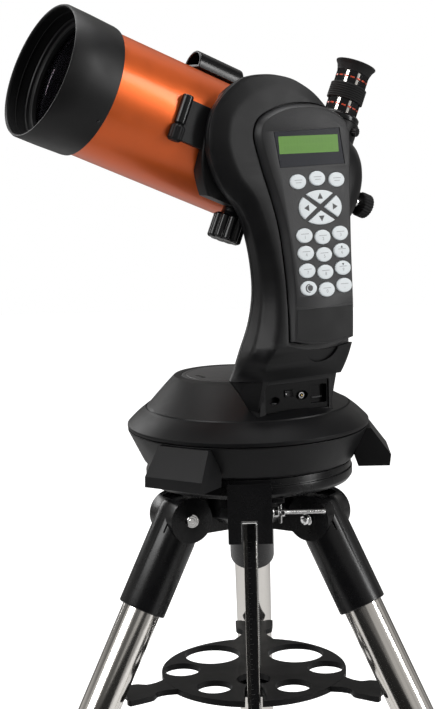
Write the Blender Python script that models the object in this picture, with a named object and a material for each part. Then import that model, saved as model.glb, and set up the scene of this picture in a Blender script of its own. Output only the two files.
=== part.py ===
"""Maksutov telescope on a motorised single-arm mount and a steel tripod.

Metres, +Z up, origin on the floor. Four empties carry the assembly. "tripod_axis" is the vertical
azimuth axis at the height of the base's seam. "mount_axis" is the same point turned to the mount's
heading, with +X to the tube's front and +Y to the arm. "tube_axis" is the altitude axis, with +X
along the tube and +Z to the eyepiece's side. "handset_axis" lies in the handset's face.
"""

from math import atan2, cos, hypot, pi, radians, sin, sqrt, tan

import bmesh
import bpy
from mathutils import Matrix, Vector

GAP = 0.0003

# Tripod
SPREAD = radians(28)
PIVOT_R = 0.0777
PIVOT_Z = -0.085
LEG_LENGTH = 0.822
LEG_R = 0.01905
SLEEVE_R = 0.0234
LOWER_R = 0.0159
TUBE_WALL = 0.0014
UPPER_END = 0.640
LEG_HEADINGS = (radians(90), radians(210), radians(330))
SEAM_HEIGHT = LEG_LENGTH * cos(SPREAD) - PIVOT_Z
FOOT_R = 0.0185
TRAY_Z = -0.2527
TRAY_R = 0.0928
TRAY_SHIFT = -0.006

# Base
RIM_R = 0.1185
RIDGE_R = 0.0995
RIDGE_Z = 0.0193
TOP_R = 0.056
TOP_Z = 0.045
TOP_CENTRE = (0.004, -0.026)
HOUSING_LOW_R = 0.104
HOUSING_LOW_Z = -0.0345
PLATE_R = 0.102
PLATE_TOP = -0.0362
PLATE_LOW = -0.0553

# Arm, in the mount's frame
HEADING = radians(30.9)
ALTITUDE = radians(22.8)
ALT_Z = 0.2575
ARM_INNER_Y = 0.0683
ARM_SEAM_Y = 0.0744
ARM_OUTLINE = ((0.0617, 0.2286), (0.0687, 0.2380), (0.0745, 0.2519), (0.0783, 0.2656), (0.0794, 0.2791),
               (0.0762, 0.2969), (0.0696, 0.3101), (0.0589, 0.3214), (0.0440, 0.3320), (0.0335, 0.3352),
               (0.0208, 0.3366), (0.0071, 0.3359), (-0.0090, 0.3325), (-0.0197, 0.3277), (-0.0304, 0.3212),
               (-0.0391, 0.3137), (-0.0475, 0.3040), (-0.0550, 0.2920), (-0.0600, 0.2790), (-0.0625, 0.2640),
               (-0.0620, 0.2300), (-0.0605, 0.1900), (-0.0575, 0.1500), (-0.0545, 0.1150), (-0.0522, 0.0890),
               (-0.0512, 0.0700), (-0.0500, 0.0560), (-0.0470, 0.0420), (-0.0445, 0.0300), (-0.0445, 0.0040),
               (0.0400, 0.0040), (0.0400, 0.0290), (0.0605, 0.0560), (0.0559, 0.0660), (0.0489, 0.0841),
               (0.0431, 0.0977), (0.0384, 0.1113), (0.0347, 0.1298), (0.0341, 0.1484), (0.0367, 0.1719),
               (0.0415, 0.1935), (0.0454, 0.2048), (0.0514, 0.2171))
LEAN = 0.116

# Handset, in its own frame: +X to the right of its face, +Y to its top, +Z out of the face
HANDSET_AT = (-0.0171, 0.0930, 0.2721)
HANDSET_DEEP = 0.0120
HANDSET_OUTLINE = ((-0.031, -0.179), (-0.016, -0.1825), (0.002, -0.184), (0.018, -0.183), (0.0325, -0.180),
                   (0.0355, -0.146), (0.0385, -0.090), (0.043, -0.030), (0.0455, 0.000), (0.0450, 0.012),
                   (0.041, 0.021), (0.031, 0.0275), (0.016, 0.0325), (-0.002, 0.034), (-0.020, 0.0325),
                   (-0.035, 0.0275), (-0.0445, 0.0215), (-0.0485, 0.013), (-0.0480, 0.002),
                   (-0.0425, -0.022), (-0.036, -0.046), (-0.0305, -0.072), (-0.0280, -0.100),
                   (-0.0270, -0.140))
KEY_PITCH = (0.01956, 0.01617)
KEY_SIZE = (0.0086, 0.0068)
KEY_CENTRE_X = 0.0069
KEY_ROW_Y = -0.0835
TOP_KEYS = ((-0.0150, -0.0340), (0.0060, -0.0318), (0.0272, -0.0338))
ARROWS_AT = (0.0071, -0.0585)
ARROWS_SIZE = (0.0232, 0.0160)

# Optical tube, in the tube's frame
TUBE_Y = 0.0028
TUBE_R = 0.0592
TUBE_STEPS = 40
TUBE_FRONT = 0.1742
TUBE_BACK = -0.0620
CELL_FRONT = 0.2263
CELL_R = 0.0639
REAR_END = -0.115
EYEPIECE_X = -0.0885
SADDLE_LOW_Y = 0.050
KNOB_X = 0.020
KNOB_Y = 0.0512
FOCUS_Y = 0.0285
OTA = (0, TUBE_Y, 0)


def clear_scene():
    for item in list(bpy.data.objects):
        bpy.data.objects.remove(item, do_unlink=True)


def material(name, colour, roughness, metallic=0.0):
    made = bpy.data.materials.new(name)
    made.use_nodes = True
    shader = made.node_tree.nodes["Principled BSDF"]
    shader.inputs["Base Color"].default_value = (*colour, 1.0)
    shader.inputs["Roughness"].default_value = roughness
    shader.inputs["Metallic"].default_value = metallic
    made.diffuse_color = (*colour, 1.0)
    return made


def empty(name, parent, location, rotation=(0, 0, 0)):
    made = bpy.data.objects.new(name, None)
    bpy.context.scene.collection.objects.link(made)
    made.parent = parent
    made.location = location
    made.rotation_euler = rotation
    return made


def placed(name, bm, finish, parent, location=(0, 0, 0), rotation=(0, 0, 0), smooth=True):
    """Turns a bmesh into a named object with its normals out."""
    bmesh.ops.remove_doubles(bm, verts=bm.verts, dist=1e-6)
    bmesh.ops.recalc_face_normals(bm, faces=bm.faces)
    mesh = bpy.data.meshes.new(name)
    bm.to_mesh(mesh)
    bm.free()
    if smooth:
        mesh.shade_smooth()
        mesh.set_sharp_from_angle(angle=radians(32))
    made = bpy.data.objects.new(name, mesh)
    bpy.context.scene.collection.objects.link(made)
    made.parent = parent
    made.location = location
    made.rotation_euler = rotation
    if finish:
        mesh.materials.append(finish)
    return made


def lathe(profile, closed=False, steps=24):
    """A turned shape about +Z from (radius, height) points."""
    bm = bmesh.new()
    verts = [bm.verts.new((r, 0, h)) for r, h in profile]
    ends = list(zip(verts, verts[1:]))
    if closed:
        ends.append((verts[-1], verts[0]))
    edges = [bm.edges.new(pair) for pair in ends]
    turn = {"cent": (0, 0, 0), "axis": (0, 0, 1), "angle": 2 * pi}
    bmesh.ops.spin(bm, geom=verts + edges, steps=steps, use_merge=True, **turn)
    bmesh.ops.remove_doubles(bm, verts=bm.verts, dist=1e-6)
    return bm


def rod(radius, low, high, steps=24):
    return lathe([(0, low), (radius, low), (radius, high), (0, high)], steps=steps)


def pipe(outer, inner, low, high, steps=24):
    return lathe([(inner, low), (outer, low), (outer, high), (inner, high)], closed=True, steps=steps)


def slab(outline, low, high):
    """An outline in X and Y extruded from one height to another."""
    bm = bmesh.new()
    face = bm.faces.new([bm.verts.new((x, y, low)) for x, y in outline])
    grown = bmesh.ops.extrude_face_region(bm, geom=[face])
    lifted = [v for v in grown["geom"] if isinstance(v, bmesh.types.BMVert)]
    bmesh.ops.translate(bm, verts=lifted, vec=(0, 0, high - low))
    bmesh.ops.recalc_face_normals(bm, faces=bm.faces)
    return bm


def block(low, high):
    corners = [(low[0], low[1]), (high[0], low[1]), (high[0], high[1]), (low[0], high[1])]
    return slab(corners, low[2], high[2])


def oval(width, height, centre=(0, 0), points=20):
    turns = [2 * pi * i / points for i in range(points)]
    return [(centre[0] + width * cos(a), centre[1] + height * sin(a)) for a in turns]


def moved(bm, matrix):
    bmesh.ops.transform(bm, matrix=matrix, verts=bm.verts)
    return bm


def together(*parts):
    """Several closed shapes in one mesh, for a cutter."""
    whole = bmesh.new()
    for part in parts:
        mesh = bpy.data.meshes.new("piece")
        part.to_mesh(mesh)
        part.free()
        whole.from_mesh(mesh)
        bpy.data.meshes.remove(mesh)
    return whole


def boolean(target, operation, name, bm, parent, location=(0, 0, 0), rotation=(0, 0, 0)):
    """Adds a Boolean with a hidden helper object."""
    helper = placed(name, bm, None, parent, location, rotation, smooth=False)
    helper.hide_render = True
    helper.display_type = "WIRE"
    step = target.modifiers.new(name, "BOOLEAN")
    step.operation = operation
    step.object = helper
    step.solver = "EXACT"
    return helper


def bevel(target, width, segments=2, angle=35):
    step = target.modifiers.new("edges", "BEVEL")
    step.width = width
    step.segments = segments
    step.limit_method = "ANGLE"
    step.angle_limit = radians(angle)
    return step


def foot_half_width():
    """How far a foot's floor pad reaches past its leg's axis along the leg's heading."""
    return FOOT_R / cos(SPREAD)


def axis_y():
    """Places the azimuth axis so that the whole part's box is centred on the origin."""
    reach = PIVOT_R + LEG_LENGTH * sin(SPREAD)
    back = reach + foot_half_width()
    front = reach / 2 + hypot(foot_half_width() / 2, FOOT_R * sqrt(3) / 2)
    return (front - back) / 2


ALONG_X = (0, pi / 2, 0)
ALONG_Y = (-pi / 2, 0, 0)
TO_X = Matrix.Rotation(pi / 2, 4, "Y")
TO_Y = Matrix.Rotation(-pi / 2, 4, "X")

clear_scene()
BLACK = material("satin_black", (0.028, 0.029, 0.032), 0.42)
CAST = material("cast_black", (0.020, 0.020, 0.022), 0.38)
MATTE = material("matte_black", (0.012, 0.012, 0.014), 0.60)
RUBBER = material("rubber", (0.018, 0.018, 0.019), 0.80)
STEEL = material("polished_steel", (0.78, 0.76, 0.73), 0.14, 1.0)
ORANGE = material("orange_metallic", (0.72, 0.17, 0.035), 0.28, 0.85)
KEY = material("key_grey", (0.74, 0.76, 0.77), 0.45)
GLASS = material("coated_glass", (0.10, 0.07, 0.13), 0.05)
MIRROR = material("mirror", (0.90, 0.91, 0.92), 0.03, 1.0)
BRASS = material("gear_brass", (0.60, 0.43, 0.16), 0.35, 1.0)

tripod_axis = empty("tripod_axis", None, (0, axis_y(), SEAM_HEIGHT))
mount_axis = empty("mount_axis", tripod_axis, (0, 0, 0), (0, 0, HEADING - pi))
tube_axis = empty("tube_axis", mount_axis, (0, 0, ALT_Z), (0, -ALTITUDE, 0))
handset_axis = empty("handset_axis", mount_axis, HANDSET_AT, (pi / 2 - LEAN, 0, pi))


# Tripod ---------------------------------------------------------------------------------------

HEAD_TOP = PLATE_LOW - 0.0005
LUG_HALF = 0.0145
CHEEK_HALF = 0.0235
HINGE_Y = 0.088


def tripod_head():
    """A cast hub with three lugs, one for each leg's fork, and a boss for the tie rod."""
    head = placed("tripod_head", rod(0.056, -0.094, HEAD_TOP - 0.002, 30), CAST, tripod_axis)
    for number, heading in enumerate(LEG_HEADINGS, 1):
        turn = Matrix.Rotation(heading, 4, "Z")
        lug = block((0.030, -LUG_HALF + 0.0002, -0.1024), (PIVOT_R, LUG_HALF - 0.0002, -0.0676))
        boolean(head, "UNION", f"lug_{number}", moved(lug, turn), tripod_axis)
        eye = moved(rod(0.0180, -LUG_HALF, LUG_HALF, 16), Matrix.Rotation(pi / 2, 4, "X"))
        eye = moved(eye, turn @ Matrix.Translation((PIVOT_R, 0, PIVOT_Z)))
        boolean(head, "UNION", f"lug_eye_{number}", eye, tripod_axis)
    for side in (-1, 1):
        x = side * 0.048
        ear = block((x - 0.008, 0.020, -0.090), (x + 0.008, HINGE_Y - 0.001, HEAD_TOP))
        boolean(head, "UNION", f"hinge_ear_{side + 2}", ear, tripod_axis)
    boolean(head, "DIFFERENCE", "tie_rod_hole", rod(0.0072, -0.120, -0.070), tripod_axis)


def tie_rod():
    """The threaded rod down the middle that the tray and its knob slide on."""
    placed("tie_rod", rod(0.0068, -0.366, -0.0705), STEEL, tripod_axis)


def leg(number, heading):
    """A cast fork with its sleeve, a steel tube with its collar, the sliding tube and its lock knob."""
    hinge = (PIVOT_R * cos(heading), PIVOT_R * sin(heading), PIVOT_Z)
    pivot = empty(f"leg_{number}_pivot", tripod_axis, hinge, (0, pi - SPREAD, heading))
    fork = placed(f"leg_bracket_{number}", pipe(SLEEVE_R, LEG_R + GAP, 0.036, 0.0975), CAST, pivot)
    crown = rod(SLEEVE_R, -0.0130, 0.0363)
    boolean(fork, "UNION", f"crown_{number}", crown, pivot)
    knuckle = moved(rod(0.0222, -CHEEK_HALF, CHEEK_HALF, 20), Matrix.Rotation(pi / 2, 4, "X"))
    boolean(fork, "UNION", f"knuckle_{number}", knuckle, pivot)
    clearance = LUG_HALF + 0.0004
    slot = block((-0.0190, -clearance, -0.030), (0.040, clearance, 0.0210))
    boolean(fork, "DIFFERENCE", f"fork_slot_{number}", slot, pivot)
    tube = placed(f"leg_tube_{number}", pipe(LEG_R, LEG_R - TUBE_WALL, 0.0370, UPPER_END), STEEL, pivot)
    collar = pipe(SLEEVE_R, LOWER_R + GAP, UPPER_END - 0.030, UPPER_END + 0.026)
    boolean(tube, "UNION", f"collar_{number}", collar, pivot)
    boss = moved(rod(0.0105, 0.018, 0.0300, 12), Matrix.Rotation(-pi / 2, 4, "Y"))
    boss = moved(boss, Matrix.Translation((0, 0, UPPER_END)))
    boolean(tube, "UNION", f"collar_boss_{number}", boss, pivot)
    bore = rod(LOWER_R + GAP, UPPER_END - 0.040, UPPER_END + 0.040)
    boolean(tube, "DIFFERENCE", f"collar_bore_{number}", bore, pivot)
    sliding = pipe(LOWER_R, LOWER_R - TUBE_WALL, 0.150, 0.790)
    lower = placed(f"leg_extension_{number}", sliding, STEEL, pivot)
    boot = rod(FOOT_R, 0.757, LEG_LENGTH)
    for vert in boot.verts:
        if vert.co.z > LEG_LENGTH - 1e-4:
            vert.co.z -= vert.co.x * tan(SPREAD)
    boolean(lower, "UNION", f"boot_{number}", boot, pivot)
    lock = empty(f"leg_{number}_lock", pivot, (-0.0303, 0, UPPER_END), (0, -pi / 2, 0))
    profile = [(0, 0), (0.0085, 0), (0.0085, 0.0045), (0.0155, 0.0065), (0.0155, 0.0205), (0, 0.0205)]
    knob = lathe(profile, steps=12)
    flute(knob, 0.0130)
    placed(f"leg_lock_knob_{number}", knob, BLACK, lock)


def flute(bm, groove):
    """Pulls every other column of a twelve-sided turned knob in to make finger grooves."""
    for vert in bm.verts:
        radius = hypot(vert.co.x, vert.co.y)
        if radius > groove:
            column = round(atan2(vert.co.y, vert.co.x) / (pi / 6))
            if column % 2 == 0:
                vert.co.x *= groove / radius
                vert.co.y *= groove / radius


def accessory_tray():
    """A round plate with seven eyepiece holes, three arms seated on the legs and a notch."""
    axis_radius = PIVOT_R + (PIVOT_Z - TRAY_Z) * tan(SPREAD)
    low, high = TRAY_Z - 0.006, TRAY_Z
    plate = moved(rod(TRAY_R, low, high, 36), Matrix.Translation((0, TRAY_SHIFT, 0)))
    tray = placed("accessory_tray", plate, BLACK, tripod_axis)
    cutters = []
    for number, heading in enumerate(LEG_HEADINGS, 1):
        turn = Matrix.Rotation(heading, 4, "Z")
        half = [(0.060, 0.034), (0.0900, 0.0190), (0.1050, 0.0120), (0.1150, 0.0120), (0.1215, 0.0190),
                (0.1490, 0.0205)]
        outline = [(x, -y) for x, y in half] + half[::-1]
        arm = moved(slab(outline, low + 0.0002, high - 0.0002), turn)
        boolean(tray, "UNION", f"tray_arm_{number}", arm, tripod_axis)
        seat = rod(0.0228, low - 0.01, high + 0.01, 20)
        seat = moved(seat, turn @ Matrix.Translation((axis_radius, 0, 0)))
        cutters.append(seat)
    holes = [(side * 0.0431, 0.0384, 0.0286) for side in (-1, 1)]
    holes += [(side * 0.0723, -0.0062, 0.0184) for side in (-1, 1)]
    holes += [(side * 0.0386, -0.0571, 0.0176) for side in (-1, 1)]
    holes.append((0, -0.0367, 0.0168))
    holes.append((0, 0, 0.0073))
    for x, y, r in holes:
        hole = rod(r, low - 0.01, high + 0.01, 18)
        cutters.append(moved(hole, Matrix.Translation((x, y, 0))))
    cutters.append(block((-0.0083, -0.120, low - 0.01), (0.0083, -0.062, high + 0.01)))
    boolean(tray, "DIFFERENCE", "tray_holes", together(*cutters), tripod_axis)
    profile = [(0.0073, low - 0.0205), (0.0210, low - 0.0205), (0.0210, low - 0.0060),
               (0.0120, low - 0.0030), (0.0120, low - GAP), (0.0073, low - GAP)]
    knob = lathe(profile, closed=True, steps=12)
    flute(knob, 0.0180)
    placed("tray_knob", knob, BLACK, tripod_axis)


# Wedge plate and base -------------------------------------------------------------------------

BAR_Y = -0.090
PIN_Z = -0.0745


def wedge_plate():
    """The tilting plate under the mount, with the front block that the latitude bar hangs from."""
    low, high = PLATE_LOW, PLATE_TOP
    profile = [(0, low), (PLATE_R - 0.003, low), (PLATE_R, low + 0.004), (PLATE_R, high), (0, high)]
    wedge = placed("wedge_plate", lathe(profile, steps=36), CAST, tripod_axis)
    front = block((-0.0200, -0.1035, -0.0970), (0.0215, -0.0760, -0.0400))
    boolean(wedge, "UNION", "front_block", front, tripod_axis)
    channel = block((-0.0078, -0.1100, -0.1200), (0.0078, -0.0700, PIN_Z))
    boolean(wedge, "DIFFERENCE", "bar_channel", channel, tripod_axis)


def latitude_bar():
    """The flat scale bar that hangs from the front block on a cross pin."""
    strip = block((-0.0060, BAR_Y - 0.0025, -0.310), (0.0060, BAR_Y + 0.0025, PIN_Z - 0.004))
    bar = placed("latitude_bar", strip, STEEL, tripod_axis, smooth=False)
    pin = moved(rod(0.0028, -0.0072, 0.0072, 16), TO_X)
    boolean(bar, "UNION", "bar_pin", pin, tripod_axis, (0, BAR_Y, PIN_Z - 0.0040))


def base_housing():
    """The fixed lower housing: an open bowl with three wedge feet around it."""
    low, top = HOUSING_LOW_Z - 0.0012, -0.0024
    floor = low + 0.004
    profile = [(0, low), (HOUSING_LOW_R - 0.003, low), (HOUSING_LOW_R, low + 0.0025), (RIM_R, top),
               (RIM_R - 0.004, top), (HOUSING_LOW_R - 0.004, floor), (0, floor)]
    housing = placed("base_housing", lathe(profile, steps=36), BLACK, tripod_axis)
    for number, heading in enumerate((0, radians(120), radians(240)), 1):
        shape = [(0.1090, -0.0040), (0.1195, -0.0040), (0.1385, -0.0300), (0.1370, -0.0405),
                 (0.1065, -0.0405), (0.1030, -0.0310)]
        wedge = slab(shape, -0.0275, 0.0275)
        for vert in wedge.verts:
            vert.co.z *= 1.0 + 0.18 * (-0.004 - vert.co.y) / 0.0365
        wedge = moved(wedge, Matrix.Rotation(heading, 4, "Z") @ Matrix.Rotation(pi / 2, 4, "X"))
        boolean(housing, "UNION", f"wedge_foot_{number}", wedge, tripod_axis)


def azimuth_gear():
    """The fixed ring gear and spindle that the turntable runs around."""
    teeth = 24
    outline = []
    for i in range(teeth):
        for share, radius in ((0.0, 0.051), (0.25, 0.055), (0.5, 0.055), (0.75, 0.051)):
            angle = 2 * pi * (i + share) / teeth
            outline.append((radius * cos(angle), radius * sin(angle)))
    gear = placed("azimuth_gear", slab(outline, -0.0250, -0.0190), BRASS, tripod_axis, smooth=False)
    boolean(gear, "UNION", "spindle", rod(0.0110, -0.0312, 0.0080, 16), tripod_axis)


def ring(radius, height, centre, steps=36):
    turns = [2 * pi * i / steps for i in range(steps)]
    return [Vector((centre[0] + radius * cos(a), centre[1] + radius * sin(a), height)) for a in turns]


def turntable():
    """The sloped upper cover. Its small top circle sits off centre, away from the arm."""
    outside = [ring(RIM_R - 0.0010, -0.0019, (0, 0)), ring(RIM_R + 0.0005, 0.0022, (0, 0))]
    outside.append(ring(RIDGE_R, RIDGE_Z, (0, 0)))
    for share in (0.35, 0.70, 1.0):
        radius = RIDGE_R + (TOP_R - RIDGE_R) * share
        height = RIDGE_Z + (TOP_Z - RIDGE_Z) * (1 - (1 - share) ** 1.35)
        outside.append(ring(radius, height, (TOP_CENTRE[0] * share, TOP_CENTRE[1] * share)))
    inside = []
    for loop in outside[1:]:
        centre = sum(loop, Vector()) / len(loop)
        inside.append([centre + (v - centre) * 0.955 - Vector((0, 0, 0.0030)) for v in loop])
    inside[0] = [Vector((v.x, v.y, -0.0019)) for v in inside[0]]
    bm = bmesh.new()
    loops = [[bm.verts.new(v) for v in loop] for loop in reversed(inside)]
    loops += [[bm.verts.new(v) for v in loop] for loop in outside]
    for one, two in zip(loops, loops[1:]):
        for i in range(len(one)):
            j = (i + 1) % len(one)
            bm.faces.new((one[i], one[j], two[j], two[i]))
    bm.faces.new(loops[0])
    bm.faces.new(loops[-1])
    table = placed("turntable", bm, BLACK, mount_axis)
    well = rod(TOP_R - 0.0070, TOP_Z - 0.0018, TOP_Z + 0.01, 30)
    boolean(table, "DIFFERENCE", "cover_seat", well, mount_axis, (*TOP_CENTRE, 0))
    foot = block((-0.0448, ARM_INNER_Y - GAP, -0.01), (0.0403, 0.0853, 0.08))
    boolean(table, "DIFFERENCE", "arm_opening", foot, mount_axis)
    edge = TOP_R - 0.0073
    profile = [(0, TOP_Z - 0.0015), (edge, TOP_Z - 0.0015), (edge, TOP_Z), (0, TOP_Z + 0.0006)]
    placed("battery_cover", lathe(profile, steps=30), BLACK, mount_axis, (*TOP_CENTRE, 0))


# Arm ------------------------------------------------------------------------------------------

PANEL_LOW = (-0.0400, 0.0230)
PANEL_HIGH = (0.0300, 0.0500)
SWITCH_AT = (0.0040, 0.0400)


def arm_face(z):
    """How far out the arm's outer face stands at a height."""
    if z > 0.088:
        sink = 0.0027 + 0.0043 * min(1.0, (z - 0.088) / 0.045)
        return HANDSET_AT[1] + (HANDSET_AT[2] - z) * tan(LEAN) - sink
    if z > 0.056:
        return 0.0930 + (z - 0.056) / 0.032 * 0.0187
    return 0.0850


def upright(outline, low, high):
    """An outline in X and Z extruded along Y."""
    return moved(slab([(x, -z) for x, z in outline], low, high), TO_Y)


def arm_shells():
    plate = upright(ARM_OUTLINE, ARM_INNER_Y, ARM_SEAM_Y)
    inner = placed("arm_inner_shell", plate, BLACK, mount_axis)
    profile = [(0, 0.0600), (0.0125, 0.0600), (0.0125, 0.0706), (0.0340, 0.0706), (0.0340, 0.0760)]
    bore = lathe(profile + [(0, 0.0760)])
    boolean(inner, "DIFFERENCE", "bearing_bore", bore, mount_axis, (0, 0, ALT_Z), ALONG_Y)
    shell = upright(ARM_OUTLINE, ARM_SEAM_Y + GAP, 0.1)
    for vert in shell.verts:
        if vert.co.y > 0.09:
            vert.co.y = arm_face(vert.co.z)
    bmesh.ops.recalc_face_normals(shell, faces=shell.faces)
    cap = max(shell.faces, key=lambda f: sum(v.co.y for v in f.verts) / len(f.verts))
    bmesh.ops.bevel(shell, geom=list(cap.edges), offset=0.0070, segments=2, profile=0.5, affect="EDGES")
    bmesh.ops.triangulate(shell, faces=[f for f in shell.faces if len(f.verts) > 4])
    outer = placed("arm_outer_shell", shell, BLACK, mount_axis)
    room = 0.0022
    wider, longer = 1 + room / 0.040, 1 + room / 0.105
    seat = [(0.075 if x > 0.0315 else x * wider, (y + 0.075) * longer - 0.075) for x, y in HANDSET_OUTLINE]
    pocket = slab(seat, -HANDSET_DEEP - GAP, 0.03)
    boolean(outer, "DIFFERENCE", "handset_pocket", pocket, handset_axis)
    low, high = PANEL_LOW, PANEL_HIGH
    opening = block((low[0] - GAP, 0.0757, low[1] - GAP), (high[0] + GAP, 0.13, high[1] + GAP))
    boolean(outer, "DIFFERENCE", "panel_opening", opening, mount_axis)


def port_panel():
    """The socket panel at the arm's foot, with three sockets and a rocker switch."""
    low, high = PANEL_LOW, PANEL_HIGH
    face = 0.0836
    plate = block((low[0], 0.0760, low[1]), (high[0], face, high[1]))
    panel = placed("port_panel", plate, BLACK, mount_axis, smooth=False)
    holes = [(0.0190, 0.0335, 0.0048, 0.0036), (-0.0290, 0.0365, 0.0066, 0.0060),
             (-0.0115, 0.0365, 0.0030, 0.0030)]
    sockets = [block((x - w, face - 0.0055, z - h), (x + w, face + 0.01, z + h)) for x, z, w, h in holes]
    x, z = SWITCH_AT
    rocker = block((x - 0.0052, face - 0.0040, z - 0.0034), (x + 0.0052, face + 0.01, z + 0.0034))
    boolean(panel, "DIFFERENCE", "sockets", together(*sockets, rocker), mount_axis)
    profile = [(-0.0047, -0.0026), (0.0047, -0.0026), (0.0047, 0.0012), (0.0, 0.0002), (-0.0047, 0.0012)]
    body = slab(profile, -0.0029, 0.0029)
    placed("power_switch", body, MATTE, mount_axis, (x, face, z), smooth=False)


def altitude_gear():
    """The altitude spindle with its worm wheel, carried in the arm's inner shell."""
    profile = [(0, 0.0683), (0.0120, 0.0683), (0.0120, 0.0709), (0.0320, 0.0709), (0.0320, 0.0740)]
    gear = lathe(profile + [(0, 0.0740)])
    placed("altitude_gear", gear, BRASS, tube_axis, rotation=ALONG_Y)


def clamp_saddle():
    """The dovetail clamp: a disc cut back to clear the tube and grooved for the bar, and its knob."""
    round_plate = rod(0.0810, SADDLE_LOW_Y, 0.0680, 40)
    disc = placed("clamp_saddle", round_plate, BLACK, tube_axis, rotation=ALONG_Y)
    room = moved(rod(TUBE_R + 0.0014, -0.15, 0.15, TUBE_STEPS), TO_X)
    boolean(disc, "DIFFERENCE", "tube_room", room, tube_axis, OTA)
    groove = block((-0.15, 0.040, -0.0193), (0.15, 0.0658, 0.0193))
    boolean(disc, "DIFFERENCE", "bar_groove", groove, tube_axis)
    below = block((-0.15, 0.03, -0.15), (0.15, 0.10, -0.0560))
    above = block((-0.15, 0.03, 0.0500), (0.15, 0.10, 0.15))
    boolean(disc, "DIFFERENCE", "saddle_ends", together(below, above), tube_axis)
    profile = [(0, -0.0868), (0.0162, -0.0868), (0.0162, -0.0630), (0.0100, -0.0600), (0.0100, -0.0563),
               (0, -0.0563)]
    knob = lathe(profile, steps=12)
    flute(knob, 0.0136)
    placed("clamp_knob", knob, BLACK, tube_axis, (KNOB_X, KNOB_Y, 0))


# Handset --------------------------------------------------------------------------------------

KEY_TRAVEL = 0.0010
KEY_PROUD = 0.0016
KEY_ROOM = 0.0004


def arrow_outline(quarter, grow=0.0):
    """A quarter of the round arrow pad, between the two diagonals."""
    half = radians(45) - 0.10 + grow / 0.020
    middle = quarter * pi / 2
    points = [middle - half + 2 * half * i / 5 for i in range(6)]
    reach = (ARROWS_SIZE[0] + grow, ARROWS_SIZE[1] + grow)
    tip = 0.0040 - grow
    inner = (ARROWS_AT[0] + tip * cos(middle), ARROWS_AT[1] + tip * sin(middle) * 0.7)
    return [(ARROWS_AT[0] + reach[0] * cos(a), ARROWS_AT[1] + reach[1] * sin(a)) for a in points] + [inner]


def key_outlines():
    """Each key's name with a function that gives its outline, grown by a clearance."""
    keys = []
    for number, centre in enumerate(TOP_KEYS, 1):
        keys.append((f"key_top_{number}", centre))
    for row in range(4):
        for column in range(3):
            x = KEY_CENTRE_X + (column - 1) * KEY_PITCH[0]
            y = KEY_ROW_Y - row * KEY_PITCH[1] - (0.0025 if column == 1 else 0)
            keys.append((f"key_{row * 3 + column + 1}", (x, y)))
    shapes = []
    for name, at in keys:
        shapes.append((name, [oval(KEY_SIZE[0] + g, KEY_SIZE[1] + g, at, 12) for g in (0, KEY_ROOM)]))
    for quarter, name in enumerate(("key_right", "key_up", "key_left", "key_down")):
        shapes.append((name, [arrow_outline(quarter, g) for g in (0, KEY_ROOM)]))
    return shapes


def handset():
    """The handset's case with a pocket for each key, and the keys."""
    case = placed("handset_shell", slab(HANDSET_OUTLINE, -HANDSET_DEEP, 0), BLACK, handset_axis)
    bevel(case, 0.0018)
    deep = KEY_TRAVEL + 0.0022
    pockets = [slab(grown, -deep, 0.01) for _, (_, grown) in key_outlines()]
    boolean(case, "DIFFERENCE", "key_pockets", together(*pockets), handset_axis)
    for name, (outline, _) in key_outlines():
        centre = Vector((sum(x for x, _ in outline), sum(y for _, y in outline))) / len(outline)
        shape = [(x - centre.x, y - centre.y) for x, y in outline]
        cap = slab(shape, -0.0016, KEY_PROUD)
        placed(name, cap, KEY, handset_axis, (centre.x, centre.y, 0), smooth=False)


# Optical tube ---------------------------------------------------------------------------------

def front_cell():
    outer = [(0.0540, TUBE_FRONT + GAP), (0.0605, TUBE_FRONT + GAP), (0.0622, TUBE_FRONT + 0.003),
             (CELL_R, CELL_FRONT - 0.001), (CELL_R - 0.001, CELL_FRONT), (0.0605, CELL_FRONT)]
    inner = [(0.0570, 0.2050), (0.0540, 0.2050)]
    cell = lathe(outer + inner, closed=True, steps=TUBE_STEPS)
    placed("front_cell", cell, MATTE, tube_axis, OTA, ALONG_X)


def corrector_lens():
    """A deep meniscus, concave to the front."""
    sag = 0.0075
    radius = 0.0537
    front = [(radius * i / 3, 0.1975 - sag * (1 - (i / 3) ** 2)) for i in range(4)]
    back = [(r, h - 0.0090) for r, h in reversed(front)]
    lens = lathe(front + back, steps=TUBE_STEPS)
    placed("corrector_lens", lens, GLASS, tube_axis, OTA, ALONG_X)


def optical_tube():
    tube = pipe(TUBE_R, TUBE_R - 0.0015, TUBE_BACK, TUBE_FRONT, TUBE_STEPS)
    placed("optical_tube", tube, ORANGE, tube_axis, OTA, ALONG_X)


def rear_cell():
    """The domed rear casting with the eyepiece holder on top and the capped port behind."""
    end = TUBE_BACK - GAP
    outer = [(0, REAR_END - 0.006), (0.0225, REAR_END - 0.006), (0.0225, REAR_END), (0.0300, REAR_END),
             (0.0400, -0.113), (0.0490, -0.108), (0.0565, -0.100), (0.0598, -0.090), (0.0600, end)]
    inner = [(0.0555, end), (0.0550, -0.0880), (0.0510, -0.0965), (0.0400, -0.1055), (0, -0.1090)]
    cell = placed("rear_cell", lathe(outer + inner, steps=32), BLACK, tube_axis, OTA, ALONG_X)
    at = (EYEPIECE_X, TUBE_Y, 0)
    boolean(cell, "UNION", "eyepiece_holder", rod(0.0215, 0.0462, 0.0725), tube_axis, at)
    bore = moved(rod(0.0161, 0.0353, 0.080), Matrix.Translation(at))
    side = moved(rod(0.0034, -0.075, -0.040, 12), Matrix.Translation((-0.0890, TUBE_Y, 0)) @ TO_Y)
    back = moved(rod(0.0034, -0.130, -0.100, 12), Matrix.Translation((0, FOCUS_Y + TUBE_Y, 0)) @ TO_X)
    boolean(cell, "DIFFERENCE", "cell_bores", together(bore, side, back), tube_axis)


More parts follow.
